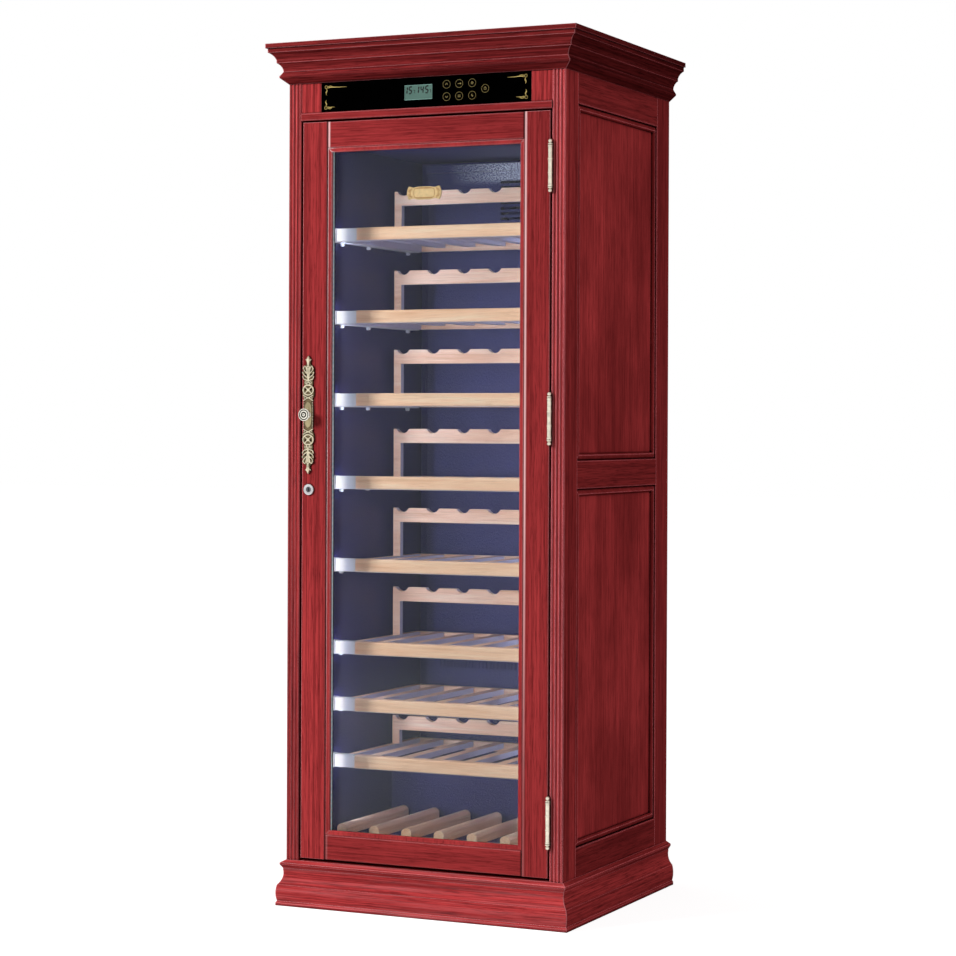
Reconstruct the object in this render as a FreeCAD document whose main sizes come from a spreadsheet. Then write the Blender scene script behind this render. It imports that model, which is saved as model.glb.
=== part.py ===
import FreeCAD, Part
import math
import os
import re
import Sketcher

# Upright wine cabinet with a wood-framed glass door.
# X runs across the front, Y runs back, Z runs up. The origin is the middle of the bounding box's
# floor. Lengths are in millimetres and angles in degrees.
# Inside this source, Y is counted back from the front face of the corner posts. Each sub-part's
# own Placement then brings that face to its place in front of the origin.

SIZES = {
    # whole cabinet
    "body_width": 650, "body_depth": 600, "body_height": 1860,
    # panelled wooden case
    "frame_thickness": 30, "post_depth": 68, "rear_stile_depth": 76, "edge_bevel": 1.5,
    "flute_radius": 3.4, "flute_width": 5.6, "flute_pitch": 8,
    "side_top_rail": 64, "side_mid_rail": 59, "side_mid_rise": 20, "side_low_rail": 61,
    "side_rail_foot": 20, "panel_recess": 9, "panel_thickness": 7,
    "side_bead_width": 14, "side_bead_root": 3, "side_bead_crest": 8.5, "side_bead_flat": 3,
    "side_bead_fall": 4,
    "top_thickness": 22, "board_thickness": 22,
    # cornice, from its top edge down
    "cornice_height": 86, "cornice_overhang": 38.5, "cornice_lip": 10, "cornice_step": 4,
    "cornice_band": 9, "cornice_shelf": 20.5, "cornice_shelf_drop": 35, "cornice_fillet": 5.5,
    "cornice_neck": 9.5, "cornice_neck_rise": 27, "cornice_nose": 14.5, "cornice_nose_rise": 19,
    "cornice_nose_height": 6.5, "cornice_ogee_radius": 24, "cornice_cove_radius": 21,
    "cornice_nose_radius": 4,
    # plinth, from the floor up
    "base_height": 98, "base_overhang": 17, "base_foot": 6, "base_foot_rise": 10, "base_chord": 14.5,
    "base_chord_rise": 45, "base_bulge_radius": 62, "base_neck": 5, "base_neck_rise": 76,
    "base_cove_radius": 34, "base_fillet": 4, "base_nose": 10.5, "base_nose_rise": 88,
    "base_nose_height": 4,
    # front above the door
    "fascia_height": 64, "fascia_setback": 2, "ledge_height": 16, "ledge_proud": 2,
    "panel_end": 48.5, "panel_height": 62.5, "panel_proud": 1, "panel_plate": 6,
    "panel_clearance": 0.5, "display_width": 65, "display_height": 31, "display_offset": -14,
    "display_rise": 17, "display_setback": 0.8, "display_clearance": 0.2,
    "circuit_width": 240, "circuit_height": 46, "circuit_thickness": 1.6, "circuit_pillar": 5,
    # insulated cavity
    "wall_build": 25, "sheet": 1.5, "floor_build": 30, "ceiling_build": 44, "back_build": 60,
    "step_run": 145, "step_height": 144, "step_foam": 23.5, "rear_gap": 8, "rear_sheet": 4,
    "vent_inset": 240, "vent_pitch": 13, "vent_drop": 20, "vent_radius": 2,
    # door
    "door_side_gap": 4, "door_top_gap": 4, "door_bottom_gap": 6.4, "door_setback": 1,
    "door_thickness": 40, "stile_width": 60, "top_rail_width": 56, "bottom_rail_width": 53,
    "bead_width": 10, "bead_setback": 2, "bead_lip": 2, "bead_radius": 9, "glass_setback": 8,
    "pane_thickness": 4, "pane_space": 12, "glass_bite": 11, "glass_clearance": 0.5, "rear_lip": 2.5,
    "spacer_width": 18,
    "spacer_clearance": 0.2, "gasket_width": 14, "gasket_edge": 3, "gasket_space": 9,
    "gasket_gap": 0.3,
    # badge on the glass
    "badge_width": 81, "badge_height": 29, "badge_thickness": 2, "badge_x": -2.5, "badge_drop": 104,
    "badge_waist": 13, "badge_flare": 5, "badge_notch": 3.5, "badge_crest": 1, "badge_scroll": 8,
    "badge_round": 23.525,
    # hinges
    "hinge_forward": 5, "hinge_radius": 4.5, "hinge_pin_radius": 2.5, "pin_clearance": 0.05,
    "hinge_leaf": 1.7, "hinge_leaf_depth": 30, "hinge_barrel": 86, "hinge_end_knuckle": 17,
    "knuckle_gap": 0.3, "hinge_inset": 115, "hinge_middle_share": 0.615,
    "finial_length": 12.5, "finial_ring": 5.2, "finial_neck": 3, "finial_ball": 4.4,
    # handle
    "handle_inset": 17, "handle_share": 0.6027, "handle_half": 127.5, "plate_thickness": 3,
    "boss_radius": 9, "boss_length": 6, "knob_neck": 5, "knob_radius": 13.5, "knob_reach": 23,
    "knob_face": 6,
    # lock
    "lock_inset": 18, "lock_drop": 161, "rose_radius": 12, "rose_thickness": 3, "barrel_radius": 8,
    "plug_radius": 6, "plug_clearance": 0.05, "keyway_width": 1.8, "keyway_height": 7,
    "keyway_depth": 8, "case_width": 28, "case_height": 54, "case_depth": 22, "case_setback": 11,
    "case_wall": 1.5, "case_clearance": 0.2, "bolt_thickness": 12, "bolt_height": 20, "bolt_length": 25.5,
    "bolt_throw": 9, "cam_radius": 8.2, "cam_gap": 0.3, "cam_pin_radius": 1.5, "cam_pin_length": 6,
    "cam_pin_clearance": 0.4,
    "bolt_clearance": 0.3, "bolt_rest": 0.5, "strike_height": 50, "strike_width": 22,
    "strike_plate": 1.5, "bolt_pocket": 14,
    # shelves
    "lowest_shelf": 175, "low_pitch": 123.5, "top_shelf_drop": 200, "shelf_setback": 42,
    "rail_thickness": 18, "rail_height": 28, "shelf_side_gap": 14, "facing_end": 53,
    "facing_thickness": 9, "facing_height": 29, "facing_radius": 4, "facing_rise": 3,
    "shelf_rear_gap": 46,
    "rear_rail": 16, "slat_width": 24, "slat_thickness": 12, "bottle_end": 27.1, "bottles_across": 6,
    "side_slat": 16, "side_slat_height": 20, "slat_top": 10,
    "cradle_inset": 132, "cradle_thickness": 14, "cradle_headroom": 70, "low_headroom": 59.5,
    "cradle_dip_radius": 18, "cradle_dip_width": 32, "cradle_end": 4, "cradle_rail": 32,
    "cradle_post": 18,
    # runners
    "runner_ledge": 25, "runner_gap": 0.2, "runner_sheet": 2, "runner_web": 18, "block_depth": 22,
    "block_forward": 2, "block_height": 30, "block_clearance": 1, "roller_radius": 3.5,
    "roller_length": 8,
    # bottle rack on the floor
    "batten_width": 24, "batten_end": 28, "batten_side": 16, "batten_round": 13,
    "rack_setback": 36, "rack_rear_gap": 9, "rack_cross": 18, "rack_cross_width": 20, "rack_inset": 26,
    "rack_side_gap": 8,
    # air duct and cooler
    "duct_side_gap": 34, "duct_depth": 35, "duct_top_gap": 10, "duct_lip": 17, "duct_lip_run": 12,
    "slot_width": 4, "slot_pitch": 9, "slot_height": 22, "slot_rise": 206, "slot_margin": 30,
    "grille_slot": 6, "grille_pitch": 12, "grille_width": 104, "fan_drop": 91,
    "cooler_side_gap": 52, "cooler_rise": 368, "cooler_top_gap": 50, "cooler_pitch": 70,
    "cooler_plate": 2, "tube_radius": 4, "tube_bite": 1, "cooler_standoff": 4,
    # fans
    "fan_size": 120, "fan_depth": 25, "blade_count": 7, "fan_bore": 56, "fan_tip": 54, "fan_hub": 19,
    "motor_radius": 18, "motor_depth": 6, "strut_width": 6, "strut_depth": 3, "rotor_depth": 14,
    "rotor_gap": 1, "shaft_radius": 1.5, "shaft_clearance": 0.05, "shaft_length": 11,
    "blade_angle": 38, "blade_sheet": 1.4, "blade_chord": 20,
    # light
    "light_width": 4, "light_depth": 14, "light_setback": 8, "light_rise": 52, "light_drop": 50,
    # machine bay
    "pan_height": 20, "pan_sheet": 2, "cover_sheet": 2, "louvre_height": 6, "louvre_width": 110,
    "louvre_pitch": 16, "louvre_low": 50, "louvre_spread": 125, "compressor_inset": 165,
    "compressor_back": 90, "compressor_radius": 66, "compressor_foot": 10, "compressor_height": 158,
    "condenser_inset": 145, "condenser_width": 150, "condenser_depth": 44, "condenser_height": 150,
    "condenser_gap": 4, "fin_sheet": 1.2, "fin_pitch": 10, "fan_stand": 15,
    "fan_to_condenser": 2, "condenser_rows": 5, "condenser_pitch": 28,
    "inlet_inset": 75, "inlet_z": 90, "inlet_width": 27, "inlet_height": 20,
    "inlet_flange": 5, "inlet_depth": 20, "inlet_clearance": 0.3,
}

doc = FreeCAD.newDocument("wine_cabinet")
dims = doc.addObject("Spreadsheet::Sheet", "dims")
for row, (alias, size) in enumerate(SIZES.items(), start=1):
    dims.set(f"A{row}", alias)
    dims.set(f"B{row}", str(size))
    dims.setAlias(f"B{row}", alias)
doc.recompute()

SUB_PARTS = []
UP = FreeCAD.Vector(0, 0, 1)
ALONG = {"x": (FreeCAD.Vector(0, 1, 0), 90), "y": (FreeCAD.Vector(1, 0, 0), -90), "z": (UP, 0)}


# Formulas and their values

def cells(formula):
    """The formula with each size's name turned into its cell in the sheet."""
    return re.sub(r"[a-z_]+", lambda word: f"dims.{word[0]}" if word[0] in SIZES else word[0],
                  str(formula))


def amount(formula):
    """What the formula comes to with the sheet's present sizes."""
    return float(dims.evalExpression(cells(formula)))


def bind(item, prop, formula):
    item.setExpression(prop, cells(formula))


def place(item, x="0", y="0", z="0", axis=UP, angle=0):
    """Put an object at a point given by formulas, turned about an axis."""
    item.Placement = FreeCAD.Placement(FreeCAD.Vector(0, 0, 0), FreeCAD.Rotation(axis, angle))
    for name, formula in zip("xyz", (x, y, z)):
        bind(item, f"Placement.Base.{name}", formula)
    return item


def mirrored(sign, near, far):
    """A span across the cabinet on the right (sign 1) or the left (sign -1)."""
    return (near, far) if sign > 0 else (f"-({far})", f"-({near})")


# Primitives and booleans

def block(name, x, y, z):
    """A box between two formulas along each axis."""
    box = doc.addObject("Part::Box", name)
    for prop, (low, high) in zip(("Length", "Width", "Height"), (x, y, z)):
        bind(box, prop, f"({high}) - ({low})")
    return place(box, x[0], y[0], z[0])


def rod(name, radius, run, axis, x="0", y="0", z="0"):
    """A cylinder of length run that starts at a point and goes along +axis."""
    cylinder = doc.addObject("Part::Cylinder", name)
    bind(cylinder, "Radius", radius)
    bind(cylinder, "Height", run)
    return place(cylinder, x, y, z, *ALONG[axis])


def joined(name, *items):
    fuse = doc.addObject("Part::MultiFuse", name)
    fuse.Shapes = list(items)
    return fuse


def cut(name, base, *tools):
    result = doc.addObject("Part::Cut", name)
    result.Base = base
    result.Tool = tools[0] if len(tools) == 1 else joined(f"{name}_tools", *tools)
    return result


def together(name, *items):
    """Separate solids kept side by side in one object."""
    group = doc.addObject("Part::Compound", name)
    group.Links = list(items)
    return group


# Sketches and features

def origin_plane(body, role):
    return next(item for item in body.Origin.OriginFeatures if item.Role == role)


def outline(body, role, points, offset="0"):
    """A closed sketch on one of the body's origin planes.

    Each point is (across, up). Where the stretch that ends at a point is round, the point is
    (across, up, radius, turn), and turn is 1 where the centre lies left of the way of travel.
    """
    sketch = body.newObject("Sketcher::SketchObject", f"{body.Name}_outline")
    sketch.AttachmentSupport = [(origin_plane(body, role), "")]
    sketch.MapMode = "FlatFace"
    if offset != "0":
        bind(sketch, "AttachmentOffset.Base.z", offset)
    corners = [FreeCAD.Vector(amount(point[0]), amount(point[1]), 0) for point in points]
    count = len(points)
    for index, start in enumerate(corners):
        end = corners[(index + 1) % count]
        target = points[(index + 1) % count]
        if len(target) == 2:
            sketch.addGeometry(Part.LineSegment(start, end))
            continue
        radius = amount(target[2])
        chord = end - start
        left = FreeCAD.Vector(-chord.y, chord.x, 0).normalize()
        rise = max(radius ** 2 - chord.Length ** 2 / 4, 0) ** 0.5
        centre = (start + end) * 0.5 + left * rise * target[3]
        sketch.addGeometry(Part.Arc(start, centre - left * radius * target[3], end))
    first = []
    last = []
    for index, start in enumerate(corners):
        forward = (sketch.getPoint(index, 1) - start).Length < 1e-6
        first.append(1 if forward else 2)
        last.append(2 if forward else 1)
    for index, point in enumerate(points):
        after = (index + 1) % count
        sketch.addConstraint(
            Sketcher.Constraint("Coincident", index, last[index], after, first[after]))
        for kind, formula, letter in (("DistanceX", point[0], "u"), ("DistanceY", point[1], "v")):
            number = sketch.addConstraint(
                Sketcher.Constraint(kind, -1, 1, index, first[index], amount(formula)))
            sketch.renameConstraint(number, f"{letter}{index}")
            bind(sketch, f"Constraints.{letter}{index}", formula)
        if len(points[after]) == 4:
            number = sketch.addConstraint(
                Sketcher.Constraint("Radius", index, amount(points[after][2])))
            sketch.renameConstraint(number, f"bend{index}")
            bind(sketch, f"Constraints.bend{index}", points[after][2])
    return sketch


def pad(body, sketch, length, middle=False, backwards=False):
    feature = body.newObject("PartDesign::Pad", f"{body.Name}_pad")
    feature.Profile = sketch
    feature.Midplane = middle
    feature.Reversed = backwards
    bind(feature, "Length", length)
    body.Tip = feature
    return feature


def pocket_through(body, sketch):
    feature = body.newObject("PartDesign::Pocket", f"{body.Name}_pocket")
    feature.Profile = sketch
    feature.Type = "ThroughAll"
    feature.Midplane = True
    body.Tip = feature
    return feature


def extruded(name, role, points, length, middle=True, offset="0"):
    body = doc.addObject("PartDesign::Body", name)
    pad(body, outline(body, role, points, offset), length, middle)
    return body


def turned(name, points):
    """A body turned about Z from an outline of (radius, height) points."""
    body = doc.addObject("PartDesign::Body", name)
    feature = body.newObject("PartDesign::Revolution", f"{name}_turn")
    sketch = outline(body, "XZ_Plane", points)
    feature.Profile = sketch
    feature.ReferenceAxis = (sketch, ["V_Axis"])
    feature.Angle = 360
    body.Tip = feature
    return body


def bar(name, run, x, y, z, face):
    """A bar along one axis whose two long edges on the named face are bevelled."""
    spans = {"x": x, "y": y, "z": z}
    role, across, up = {"x": ("YZ_Plane", "y", "z"), "y": ("XZ_Plane", "x", "z"),
                        "z": ("XY_Plane", "x", "y")}[run]
    half = {key: f"(({high}) - ({low})) / 2" for key, (low, high) in spans.items()}
    middle = {key: f"(({high}) + ({low})) / 2" for key, (low, high) in spans.items()}
    corners = [(-1, -1), (1, -1), (1, 1), (-1, 1)]
    on_face = {across: lambda u, v, sign: u == sign, up: lambda u, v, sign: v == sign}[face[1]]
    sign = 1 if face[0] == "+" else -1
    points = []
    for u, v in corners:
        if not on_face(u, v, sign):
            points.append((f"{u} * {half[across]}", f"{v} * {half[up]}"))
            continue
        by_side = (f"{u} * ({half[across]} - edge_bevel)", f"{v} * {half[up]}")
        by_end = (f"{u} * {half[across]}", f"{v} * ({half[up]} - edge_bevel)")
        points.extend([by_end, by_side] if u == v else [by_side, by_end])
    body = extruded(name, role, points, f"2 * {half[run]}")
    return place(body, middle["x"], middle["y"], middle["z"])


def mitred(name, profile, half_run, reach_out, reach_in, ends):
    """A moulding along X whose profile is (across, up), with each end mitred (1) or square (0).

    Across is positive inwards. A mitred end grows outwards by as much as it goes out.
    """
    body = extruded(name, "YZ_Plane", profile, f"2 * ({half_run} + {reach_out} + 2)")
    doc.recompute()
    far = f"{half_run} + {reach_out} + 4"
    for side, slope in zip((-1, 1), ends):
        corner_out = f"{side} * ({half_run} + {slope} * ({reach_out} + 1))"
        corner_in = f"{side} * ({half_run} - {slope} * ({reach_in} + 1))"
        waste = outline(body, "XY_Plane", [
            (corner_out, f"-({reach_out} + 1)"), (corner_in, f"{reach_in} + 1"),
            (f"{side} * ({far})", f"{reach_in} + 1"), (f"{side} * ({far})", f"-({reach_out} + 1)")])
        pocket_through(body, waste)
    return body


def bead_frame(name, width, height, profile, reach_in):
    """Four mitred lengths round a width by height opening, in a frame with Z towards the viewer."""
    lengths = []
    for index, side in enumerate(("bottom", "right", "top", "left")):
        run, away = (width, height) if index % 2 == 0 else (height, width)
        length = mitred(f"{name}_{side}", profile, f"({run}) / 2", "0", reach_in, (1, 1))
        x = {1: f"({away}) / 2", 3: f"-({away}) / 2"}.get(index, "0")
        y = {0: f"-({away}) / 2", 2: f"({away}) / 2"}.get(index, "0")
        lengths.append(place(length, x, y, "0", UP, 90 * index))
    return together(name, *lengths)


def sub_part(name, *items):
    """Name a finished sub-part and bring it to its place in front of the origin."""
    only = items[0] if len(items) == 1 else None
    movable = only is not None and only.TypeId != "Part::Box" and only.TypeId != "Part::Cylinder"
    if not movable or any(path.startswith((".Placement", "Placement"))
                          for path, _ in only.ExpressionEngine):
        only = together(f"{name}_assembly", *items)
    only.Label = name
    bind(only, "Placement.Base.y", "-(body_depth - cornice_overhang) / 2")
    SUB_PARTS.append(only)
    return only


# Planes and levels that several sub-parts share

HALF = "(body_width / 2)"
CASE_IN = "(body_width / 2 - frame_thickness)"
CASE_TOP = "(body_height - top_thickness)"
CORNICE_LOW = "(body_height - cornice_height)"
LEDGE_TOP = f"({CORNICE_LOW} - fascia_height)"
LEDGE_LOW = f"({LEDGE_TOP} - ledge_height)"
PANEL_HALF = f"({CASE_IN} - panel_end)"
REAR_STILE = "(body_depth - rear_stile_depth)"
DOOR_HALF = f"({CASE_IN} - door_side_gap)"
DOOR_LOW = "(base_height + door_bottom_gap)"
DOOR_HIGH = f"({LEDGE_LOW} - door_top_gap)"
DOOR_BACK = "(door_setback + door_thickness)"
STILE_IN = f"({DOOR_HALF} - stile_width)"
OPEN_LOW = f"({DOOR_LOW} + bottom_rail_width)"
OPEN_HIGH = f"({DOOR_HIGH} - top_rail_width)"
GLASS = "(door_setback + glass_setback)"
GLASS_BACK = f"({GLASS} + 2 * pane_thickness + pane_space)"
CAVITY_FRONT = f"({DOOR_BACK} + gasket_space)"
CAVITY = f"({CASE_IN} - wall_build)"
CAVITY_LOW = "(base_height + floor_build)"
CAVITY_HIGH = f"({LEDGE_LOW} - ceiling_build)"
CAVITY_BACK = "(body_depth - back_build)"
STEP_FRONT = f"({CAVITY_BACK} - step_run)"
STEP_TOP = f"({CAVITY_LOW} + step_height)"
BAY_FRONT = f"({STEP_FRONT} + sheet + step_foam)"
BAY_TOP = f"({STEP_TOP} - sheet - step_foam)"
REAR = "(body_depth - rear_gap - rear_sheet)"
SIDES = (("left", -1), ("right", 1))

# Places on the door, as shares of its height where they lie between its ends
HINGE_LOW = f"({DOOR_LOW} + hinge_inset)"
HINGE_HIGH = f"({DOOR_HIGH} - hinge_inset)"
HINGE_MIDDLE = f"({HINGE_LOW} + hinge_middle_share * ({HINGE_HIGH} - {HINGE_LOW}))"
HANDLE_X = f"({DOOR_HALF} - handle_inset)"
HANDLE_Z = f"({DOOR_LOW} + handle_share * ({DOOR_HIGH} - {DOOR_LOW}))"
LOCK_X = f"({DOOR_HALF} - lock_inset)"
LOCK_MIDDLE = f"({HANDLE_Z} - lock_drop)"

# The lock's case and bolt, in the middle of the door's thickness, and their place in the post
CASE_FRONT = "(door_setback + case_setback)"
BOLT_FRONT = f"({CASE_FRONT} + (case_depth - bolt_thickness) / 2)"
BOLT_HOLE_Y = (f"{BOLT_FRONT} - bolt_clearance", f"{BOLT_FRONT} + bolt_thickness + bolt_clearance")
BOLT_HOLE_Z = (f"{LOCK_MIDDLE} - bolt_height / 2 - bolt_clearance",
               f"{LOCK_MIDDLE} + bolt_height / 2 + bolt_clearance")
STRIKE_Y = (f"{BOLT_FRONT} + (bolt_thickness - strike_width) / 2",
            f"{BOLT_FRONT} + (bolt_thickness + strike_width) / 2")
STRIKE_Z = (f"{LOCK_MIDDLE} - strike_height / 2", f"{LOCK_MIDDLE} + strike_height / 2")

# Shelf levels, the top shelf first: two close ones at the bottom, display shelves above them
LOWEST_SHELF = f"({CAVITY_LOW} + lowest_shelf)"
DISPLAY_PITCH = f"(({CAVITY_HIGH} - top_shelf_drop - {LOWEST_SHELF} - 2 * low_pitch) / 5)"
SHELF_LEVELS = [
    f"({LOWEST_SHELF} + {min(step, 2)} * low_pitch + {max(step - 2, 0)} * {DISPLAY_PITCH})"
    for step in range(7, -1, -1)]
SHELF_HALF = f"({CAVITY} - shelf_side_gap)"
SHELF_FRONT = f"({CAVITY_FRONT} + shelf_setback)"
SHELF_BACK = f"({CAVITY_BACK} - shelf_rear_gap)"
BOTTLE_PITCH = f"(2 * ({SHELF_HALF} - bottle_end) / bottles_across)"
CRADLE_FRONT = f"({SHELF_BACK} - cradle_inset)"
CRADLE_HALF = f"({SHELF_HALF} - cradle_end)"


# Wooden case

def corner_posts():
    """Corner posts with three flutes down the front, which are also the front stiles of the sides."""
    across = "frame_thickness / 2"
    points = [(f"-{across}", "post_depth"), (f"-{across}", "edge_bevel"),
              (f"-{across} + edge_bevel", "0")]
    for flute in (-1, 0, 1):
        points.append((f"{flute} * flute_pitch - flute_width / 2", "0"))
        points.append((f"{flute} * flute_pitch + flute_width / 2", "0", "flute_radius", -1))
    points += [(f"{across} - edge_bevel", "0"), (across, "edge_bevel"), (across, "post_depth")]
    for side, sign in SIDES:
        post = extruded(f"post_{side}_stock", "XY_Plane", points, CASE_TOP, middle=False)
        place(post, f"{sign} * ({HALF} - {across})")
        if side == "left":
            mortise = block("post_bolt_mortise", mirrored(-1, f"{CASE_IN} - 1",
                                                          f"{CASE_IN} + bolt_pocket"),
                            BOLT_HOLE_Y, BOLT_HOLE_Z)
            post = cut("post_left_cut", post, mortise)
        sub_part(f"post_{side}", post)


def rear_stiles():
    sub_part("rear_stiles", *[
        bar(f"rear_stile_{side}", "z", mirrored(sign, CASE_IN, HALF), (REAR_STILE, "body_depth"),
            ("0", CASE_TOP), "+x" if sign > 0 else "-x") for side, sign in SIDES])


SIDE_RAILS = {
    "top": (f"{CORNICE_LOW} - side_top_rail", CASE_TOP),
    "middle": (f"{CORNICE_LOW} / 2 + side_mid_rise",
               f"{CORNICE_LOW} / 2 + side_mid_rise + side_mid_rail"),
    "bottom": ("side_rail_foot", "base_height + side_low_rail"),
}
SIDE_OPENINGS = {
    "upper": (SIDE_RAILS["middle"][1], SIDE_RAILS["top"][0]),
    "lower": (SIDE_RAILS["bottom"][1], SIDE_RAILS["middle"][0]),
}


def side_frames():
    rails = []
    panels = []
    beads = []
    for side, sign in SIDES:
        face = "+x" if sign > 0 else "-x"
        for level, span in SIDE_RAILS.items():
            rails.append(bar(f"side_rail_{side}_{level}", "y", mirrored(sign, CASE_IN, HALF),
                             ("post_depth", REAR_STILE), span, face))
        for level, (low, high) in SIDE_OPENINGS.items():
            panels.append(block(
                f"side_panel_{side}_{level}",
                mirrored(sign, f"{HALF} - panel_recess - panel_thickness", f"{HALF} - panel_recess"),
                ("post_depth", REAR_STILE), (low, high)))
            frame = bead_frame(f"side_bead_{side}_{level}", f"{REAR_STILE} - post_depth",
                               f"({high}) - ({low})", SIDE_BEAD, "side_bead_width")
            facing = FreeCAD.Rotation(UP, 90 * sign) * FreeCAD.Rotation(FreeCAD.Vector(1, 0, 0), 90)
            place(frame, f"{sign} * ({HALF} - panel_recess)", f"({REAR_STILE} + post_depth) / 2",
                  f"(({high}) + ({low})) / 2", facing.Axis, math.degrees(facing.Angle))
            beads.append(frame)
    sub_part("side_rails", *rails)
    sub_part("side_panels", *panels)
    sub_part("side_mouldings", *beads)


SIDE_BEAD = [("0", "0"), ("side_bead_width", "0"), ("side_bead_width", "side_bead_fall"),
             ("side_bead_width - side_bead_flat", "side_bead_crest", "side_bead_flat * 2", 1),
             ("side_bead_width - 2 * side_bead_flat", "side_bead_crest - 1"),
             ("0", "side_bead_root")]

CORNICE = [
    ("0", CORNICE_LOW), ("0", "body_height"), ("-cornice_overhang", "body_height"),
    ("-cornice_overhang", "body_height - cornice_lip"),
    ("-(cornice_overhang - cornice_step)", "body_height - cornice_lip"),
    ("-(cornice_overhang - cornice_step)", "body_height - cornice_lip - cornice_band"),
    ("-cornice_shelf", "body_height - cornice_shelf_drop", "cornice_ogee_radius", -1),
    ("-cornice_shelf", "body_height - cornice_shelf_drop - cornice_fillet"),
    ("-cornice_neck", f"{CORNICE_LOW} + cornice_neck_rise", "cornice_cove_radius", -1),
    ("-cornice_nose", f"{CORNICE_LOW} + cornice_nose_rise"),
    ("-cornice_nose", f"{CORNICE_LOW} + cornice_nose_rise - cornice_nose_height",
     "cornice_nose_radius", 1),
]

PLINTH = [
    ("0", "base_height"), ("-base_nose", "base_nose_rise + base_nose_height"),
    ("-base_nose", "base_nose_rise"), ("-base_neck", "base_neck_rise + base_fillet"),
    ("-base_neck", "base_neck_rise"),
    ("-base_chord", "base_chord_rise", "base_cove_radius", -1),
    ("-base_chord", "base_foot_rise", "base_bulge_radius", 1),
    ("-base_overhang", "base_foot"), ("-base_overhang", "0"), ("0", "0"),
]


def wrapped_moulding(name, profile, overhang):
    """A moulding across the front and a mitred return along each side, square at the back."""
    sub_part(f"{name}_front", mitred(f"{name}_front_length", profile, HALF, overhang, "0", (1, 1)))
    returns = []
    for side, sign in SIDES:
        ends = (1, 0) if sign > 0 else (0, 1)
        length = mitred(f"{name}_return_{side}", profile, "body_depth / 2", overhang, "0", ends)
        returns.append(place(length, f"{sign} * {HALF}", "body_depth / 2", "0", UP, 90 * sign))
    sub_part(f"{name}_sides", *returns)


def boards():
    sub_part("top_board", block("top_board_stock", (f"-{HALF}", HALF), ("0", "body_depth"),
                                (CASE_TOP, "body_height")))
    board_low = "base_height - board_thickness"
    sub_part("bottom_board",
             block("floor_board", (f"-{CASE_IN}", CASE_IN), ("0", BAY_FRONT),
                   (board_low, "base_height")),
             block("apron", (f"-{CASE_IN}", CASE_IN), ("0", "board_thickness"), ("0", board_low)))
    sub_part("ledge_rail", bar("ledge_bar", "x", (f"-{CASE_IN}", CASE_IN),
                               ("-ledge_proud", CAVITY_FRONT), (LEDGE_LOW, LEDGE_TOP), "-y"))
    window = f"{PANEL_HALF} + panel_clearance"
    sub_part("fascia_board", cut(
        "fascia_cut",
        block("fascia_stock", (f"-{CASE_IN}", CASE_IN),
              ("fascia_setback", "fascia_setback + board_thickness"), (LEDGE_TOP, CASE_TOP)),
        block("fascia_window", (f"-({window})", window),
              ("fascia_setback - 1", "fascia_setback + board_thickness + 1"),
              (f"{LEDGE_TOP} - 1", CORNICE_LOW))))


# Control panel

def controls():
    middle = f"({LEDGE_TOP} + fascia_height / 2)"
    low = f"({middle} - panel_height / 2)"
    high = f"({middle} + panel_height / 2)"
    front = "(fascia_setback - panel_proud)"
    glass = block("panel_glass", (f"-{PANEL_HALF}", PANEL_HALF),
                  (front, f"{front} + panel_plate"), (low, high))
    left = "(display_offset - display_width / 2)"
    foot = f"({LEDGE_TOP} + display_rise)"
    window = block("panel_window", (left, f"{left} + display_width"),
                   (f"{front} - 1", f"{front} + panel_plate + 1"),
                   (foot, f"{foot} + display_height"))
    sub_part("control_panel", cut("panel_cut", glass, window))
    gap = "display_clearance"
    sub_part("display", block(
        "display_block", (f"{left} + {gap}", f"{left} + display_width - {gap}"),
        (f"{front} + display_setback", f"{front} + panel_plate"),
        (f"{foot} + {gap}", f"{foot} + display_height - {gap}")))
    board = f"({front} + panel_plate + circuit_pillar)"
    circuit = block("circuit_card", ("-circuit_width / 2", "circuit_width / 2"),
                    (board, f"{board} + circuit_thickness"),
                    (f"{middle} - circuit_height / 2", f"{middle} + circuit_height / 2"))
    parts = [circuit]
    for column in (-1, 1):
        for row in (-1, 1):
            parts.append(rod(f"card_pillar_{column + 1}{row + 1}", "3", "circuit_pillar", "y",
                             f"{column} * (circuit_width / 2 - 6)", f"{front} + panel_plate",
                             f"{middle} + {row} * (circuit_height / 2 - 5)"))
    for index, (x, size) in enumerate(((-80, 30), (-30, 16), (20, 16), (75, 24))):
        parts.append(block(f"card_component_{index}", (f"{x} - {size} / 2", f"{x} + {size} / 2"),
                           (f"{board} + circuit_thickness", f"{board} + circuit_thickness + {size} / 2"),
                           (f"{middle} - {size} / 2", f"{middle} + {size} / 2")))
    sub_part("control_board", *parts)


# Insulated cavity

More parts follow.
